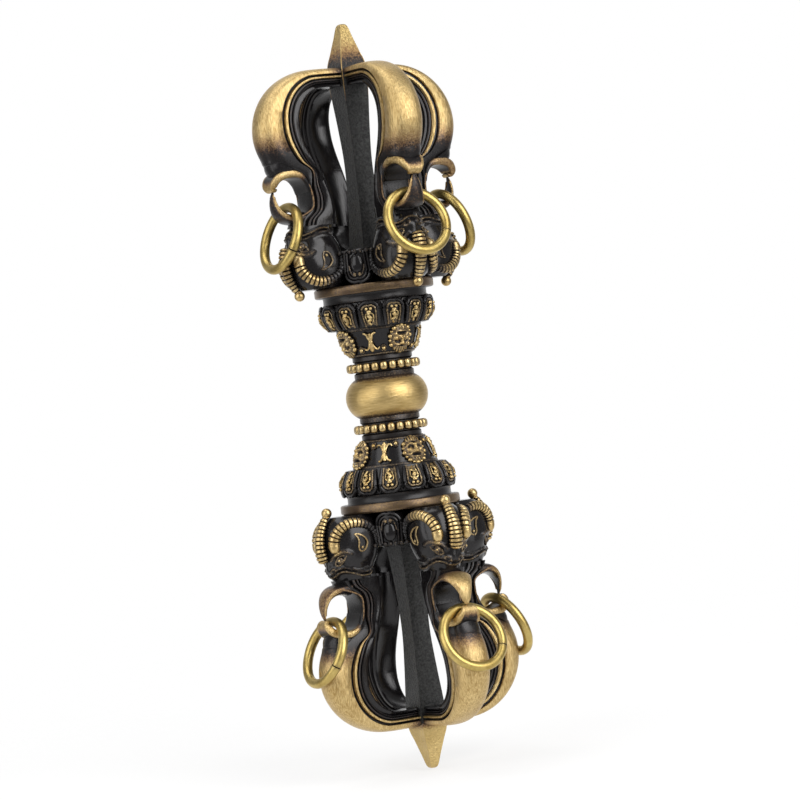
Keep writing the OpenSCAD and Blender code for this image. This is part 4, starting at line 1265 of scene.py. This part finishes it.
# Strength of the room's light, and of the grey wall at the sides, in front and, added to that, at the back
ROOM_GLOW = 0.4
SIDE_GLOW = 0.3
FRONT_GLOW = 0.28
BACK_GLOW = 0.6
WALL_R = 1.8
FLOOR_R = 0.34
FLOOR_DIP = 4
FLOOR_GAP = 0.0005
# How far the floor shows as white paper by itself, whatever light falls on it
FLOOR_GLOW = 0.72


def add_softbox(name, place, size, watts):
    ahead, across, up = place
    lamp = bpy.data.lights.new(name, "AREA")
    lamp.shape = "RECTANGLE"
    lamp.size, lamp.size_y = size
    lamp.energy = watts
    box = bpy.data.objects.new(name, lamp)
    bpy.context.scene.collection.objects.link(box)
    box.location = towards_camera * ahead + right * across + Vector((0, 0, up))
    box.rotation_euler = (-box.location).to_track_quat("-Z", "Y").to_euler()


def seen_rays(tree):
    """1 for rays that show the background as it is: from the camera, off metal and through glass."""
    larger = {"operation": "MAXIMUM"}
    camera, glossy, through = (
        add_node(tree, "LightPath", f"Is {kind} Ray") for kind in ("Camera", "Glossy", "Transmission")
    )
    either = add_node(tree, "Math", 0, larger, i0=camera, i1=glossy)
    return add_node(tree, "Math", 0, larger, i0=either, i1=through)


def add_world():
    world = bpy.data.worlds.new("white_studio")
    bpy.context.scene.world = world
    world.use_nodes = True
    tree = world.node_tree
    tree.nodes.clear()
    room = add_node(tree, "Background", Color=linear("#ffffff"), Strength=ROOM_GLOW)
    white = add_node(tree, "Background", Color=linear("#ffffff"), Strength=1.0)
    mix = add_node(tree, "MixShader", i0=seen_rays(tree), i1=room, i2=white)
    add_node(tree, "OutputWorld", Surface=mix)


def add_sheet(name, place, rings, sides):
    """Surface over rings of points, which place gives from the share of the way out and the angle."""
    points = [place(j / rings, 2 * math.pi * i / sides) for j in range(rings + 1) for i in range(sides)]
    faces = []
    for j in range(rings):
        low, high = j * sides, (j + 1) * sides
        for i in range(sides):
            k = (i + 1) % sides
            faces.append((low + i, high + i, high + k, low + k))
    mesh = bpy.data.meshes.new(name)
    mesh.from_pydata(points, [], faces)
    sheet = bpy.data.objects.new(name, mesh)
    bpy.context.scene.collection.objects.link(sheet)
    return sheet


def add_grey_wall():
    """Dim side of the studio behind the camera: a glowing sheet, not a lamp, that shows only as a painted
    reflection in the metal.
    """
    level = Matrix((right, towards_camera.cross(right), towards_camera)).transposed()

    def place(share, a):
        lean = math.radians(lerp(0.5, 150, share))
        out = math.sin(lean)
        return level @ Vector((out * math.cos(a), out * math.sin(a), math.cos(lean))) * WALL_R

    wall = add_sheet("grey_wall", place, 24, 48)
    for kind in ("camera", "diffuse", "shadow", "transmission"):
        setattr(wall, "visible_" + kind, False)
    material, tree = new_material("reflection_glow_wall")
    spot = add_node(tree, "TexCoord", "Object")
    facing = tuple(towards_camera / WALL_R)
    ahead = add_node(tree, "VectorMath", "Value", {"operation": "DOT_PRODUCT"}, i0=spot, i1=facing)
    front = add_node(tree, "MapRange", 0, SMOOTH, Value=ahead, i1=0.2, i2=0.9, i3=SIDE_GLOW, i4=FRONT_GLOW)
    back = add_node(tree, "MapRange", 0, SMOOTH, Value=ahead, i1=-0.5, i2=-0.9, i4=BACK_GLOW)
    glow = add_node(tree, "Math", 0, {"operation": "ADD"}, i0=front, i1=back)
    light = add_node(tree, "Emission", Color=linear("#ffffff"), Strength=glow)
    add_node(tree, "OutputMaterial", Surface=light)
    wall.data.materials.append(material)


def add_floor():
    """Pale floor under the point, dipping a little towards the camera, that fades into the white room."""
    slope = math.tan(math.radians(FLOOR_DIP))

    def place(share, a):
        depth = FLOOR_R * share * math.sin(a)
        height = depth * slope - TIP_Z * MM - FLOOR_GAP
        return right * FLOOR_R * share * math.cos(a) - towards_camera * depth + Vector((0, 0, height))

    floor = add_sheet("floor", place, 24, 64)
    floor.data.shade_smooth()
    material, tree = new_material("white_paper_floor")
    spot = add_node(tree, "TexCoord", "Object")
    level = add_node(tree, "VectorMath", 0, {"operation": "MULTIPLY"}, i0=spot, i1=(1, 1, 0))
    far = add_node(tree, "VectorMath", "Value", {"operation": "LENGTH"}, i0=level)
    fade = add_node(tree, "MapRange", 0, SMOOTH, Value=far, i1=0.25 * FLOOR_R, i2=0.95 * FLOOR_R)
    paper = add_node(tree, "BsdfDiffuse", Color=linear("#f4f4f4"))
    white = add_node(tree, "Emission", Color=linear("#ffffff"), Strength=1.0)
    lit = add_node(tree, "Math", 0, {"operation": "MULTIPLY"}, i0=seen_rays(tree), i1=FLOOR_GLOW)
    paper = add_node(tree, "MixShader", i0=lit, i1=paper, i2=white)
    clear = add_node(tree, "BsdfTransparent")
    mix = add_node(tree, "MixShader", i0=fade, i1=paper, i2=clear)
    add_node(tree, "OutputMaterial", Surface=mix)
    floor.data.materials.append(material)


add_camera()
add_world()
add_floor()
add_grey_wall()
for name, (place, size, watts) in SOFTBOXES.items():
    add_softbox(name, place, size, watts)

bpy.context.scene.view_settings.view_transform = "Standard"
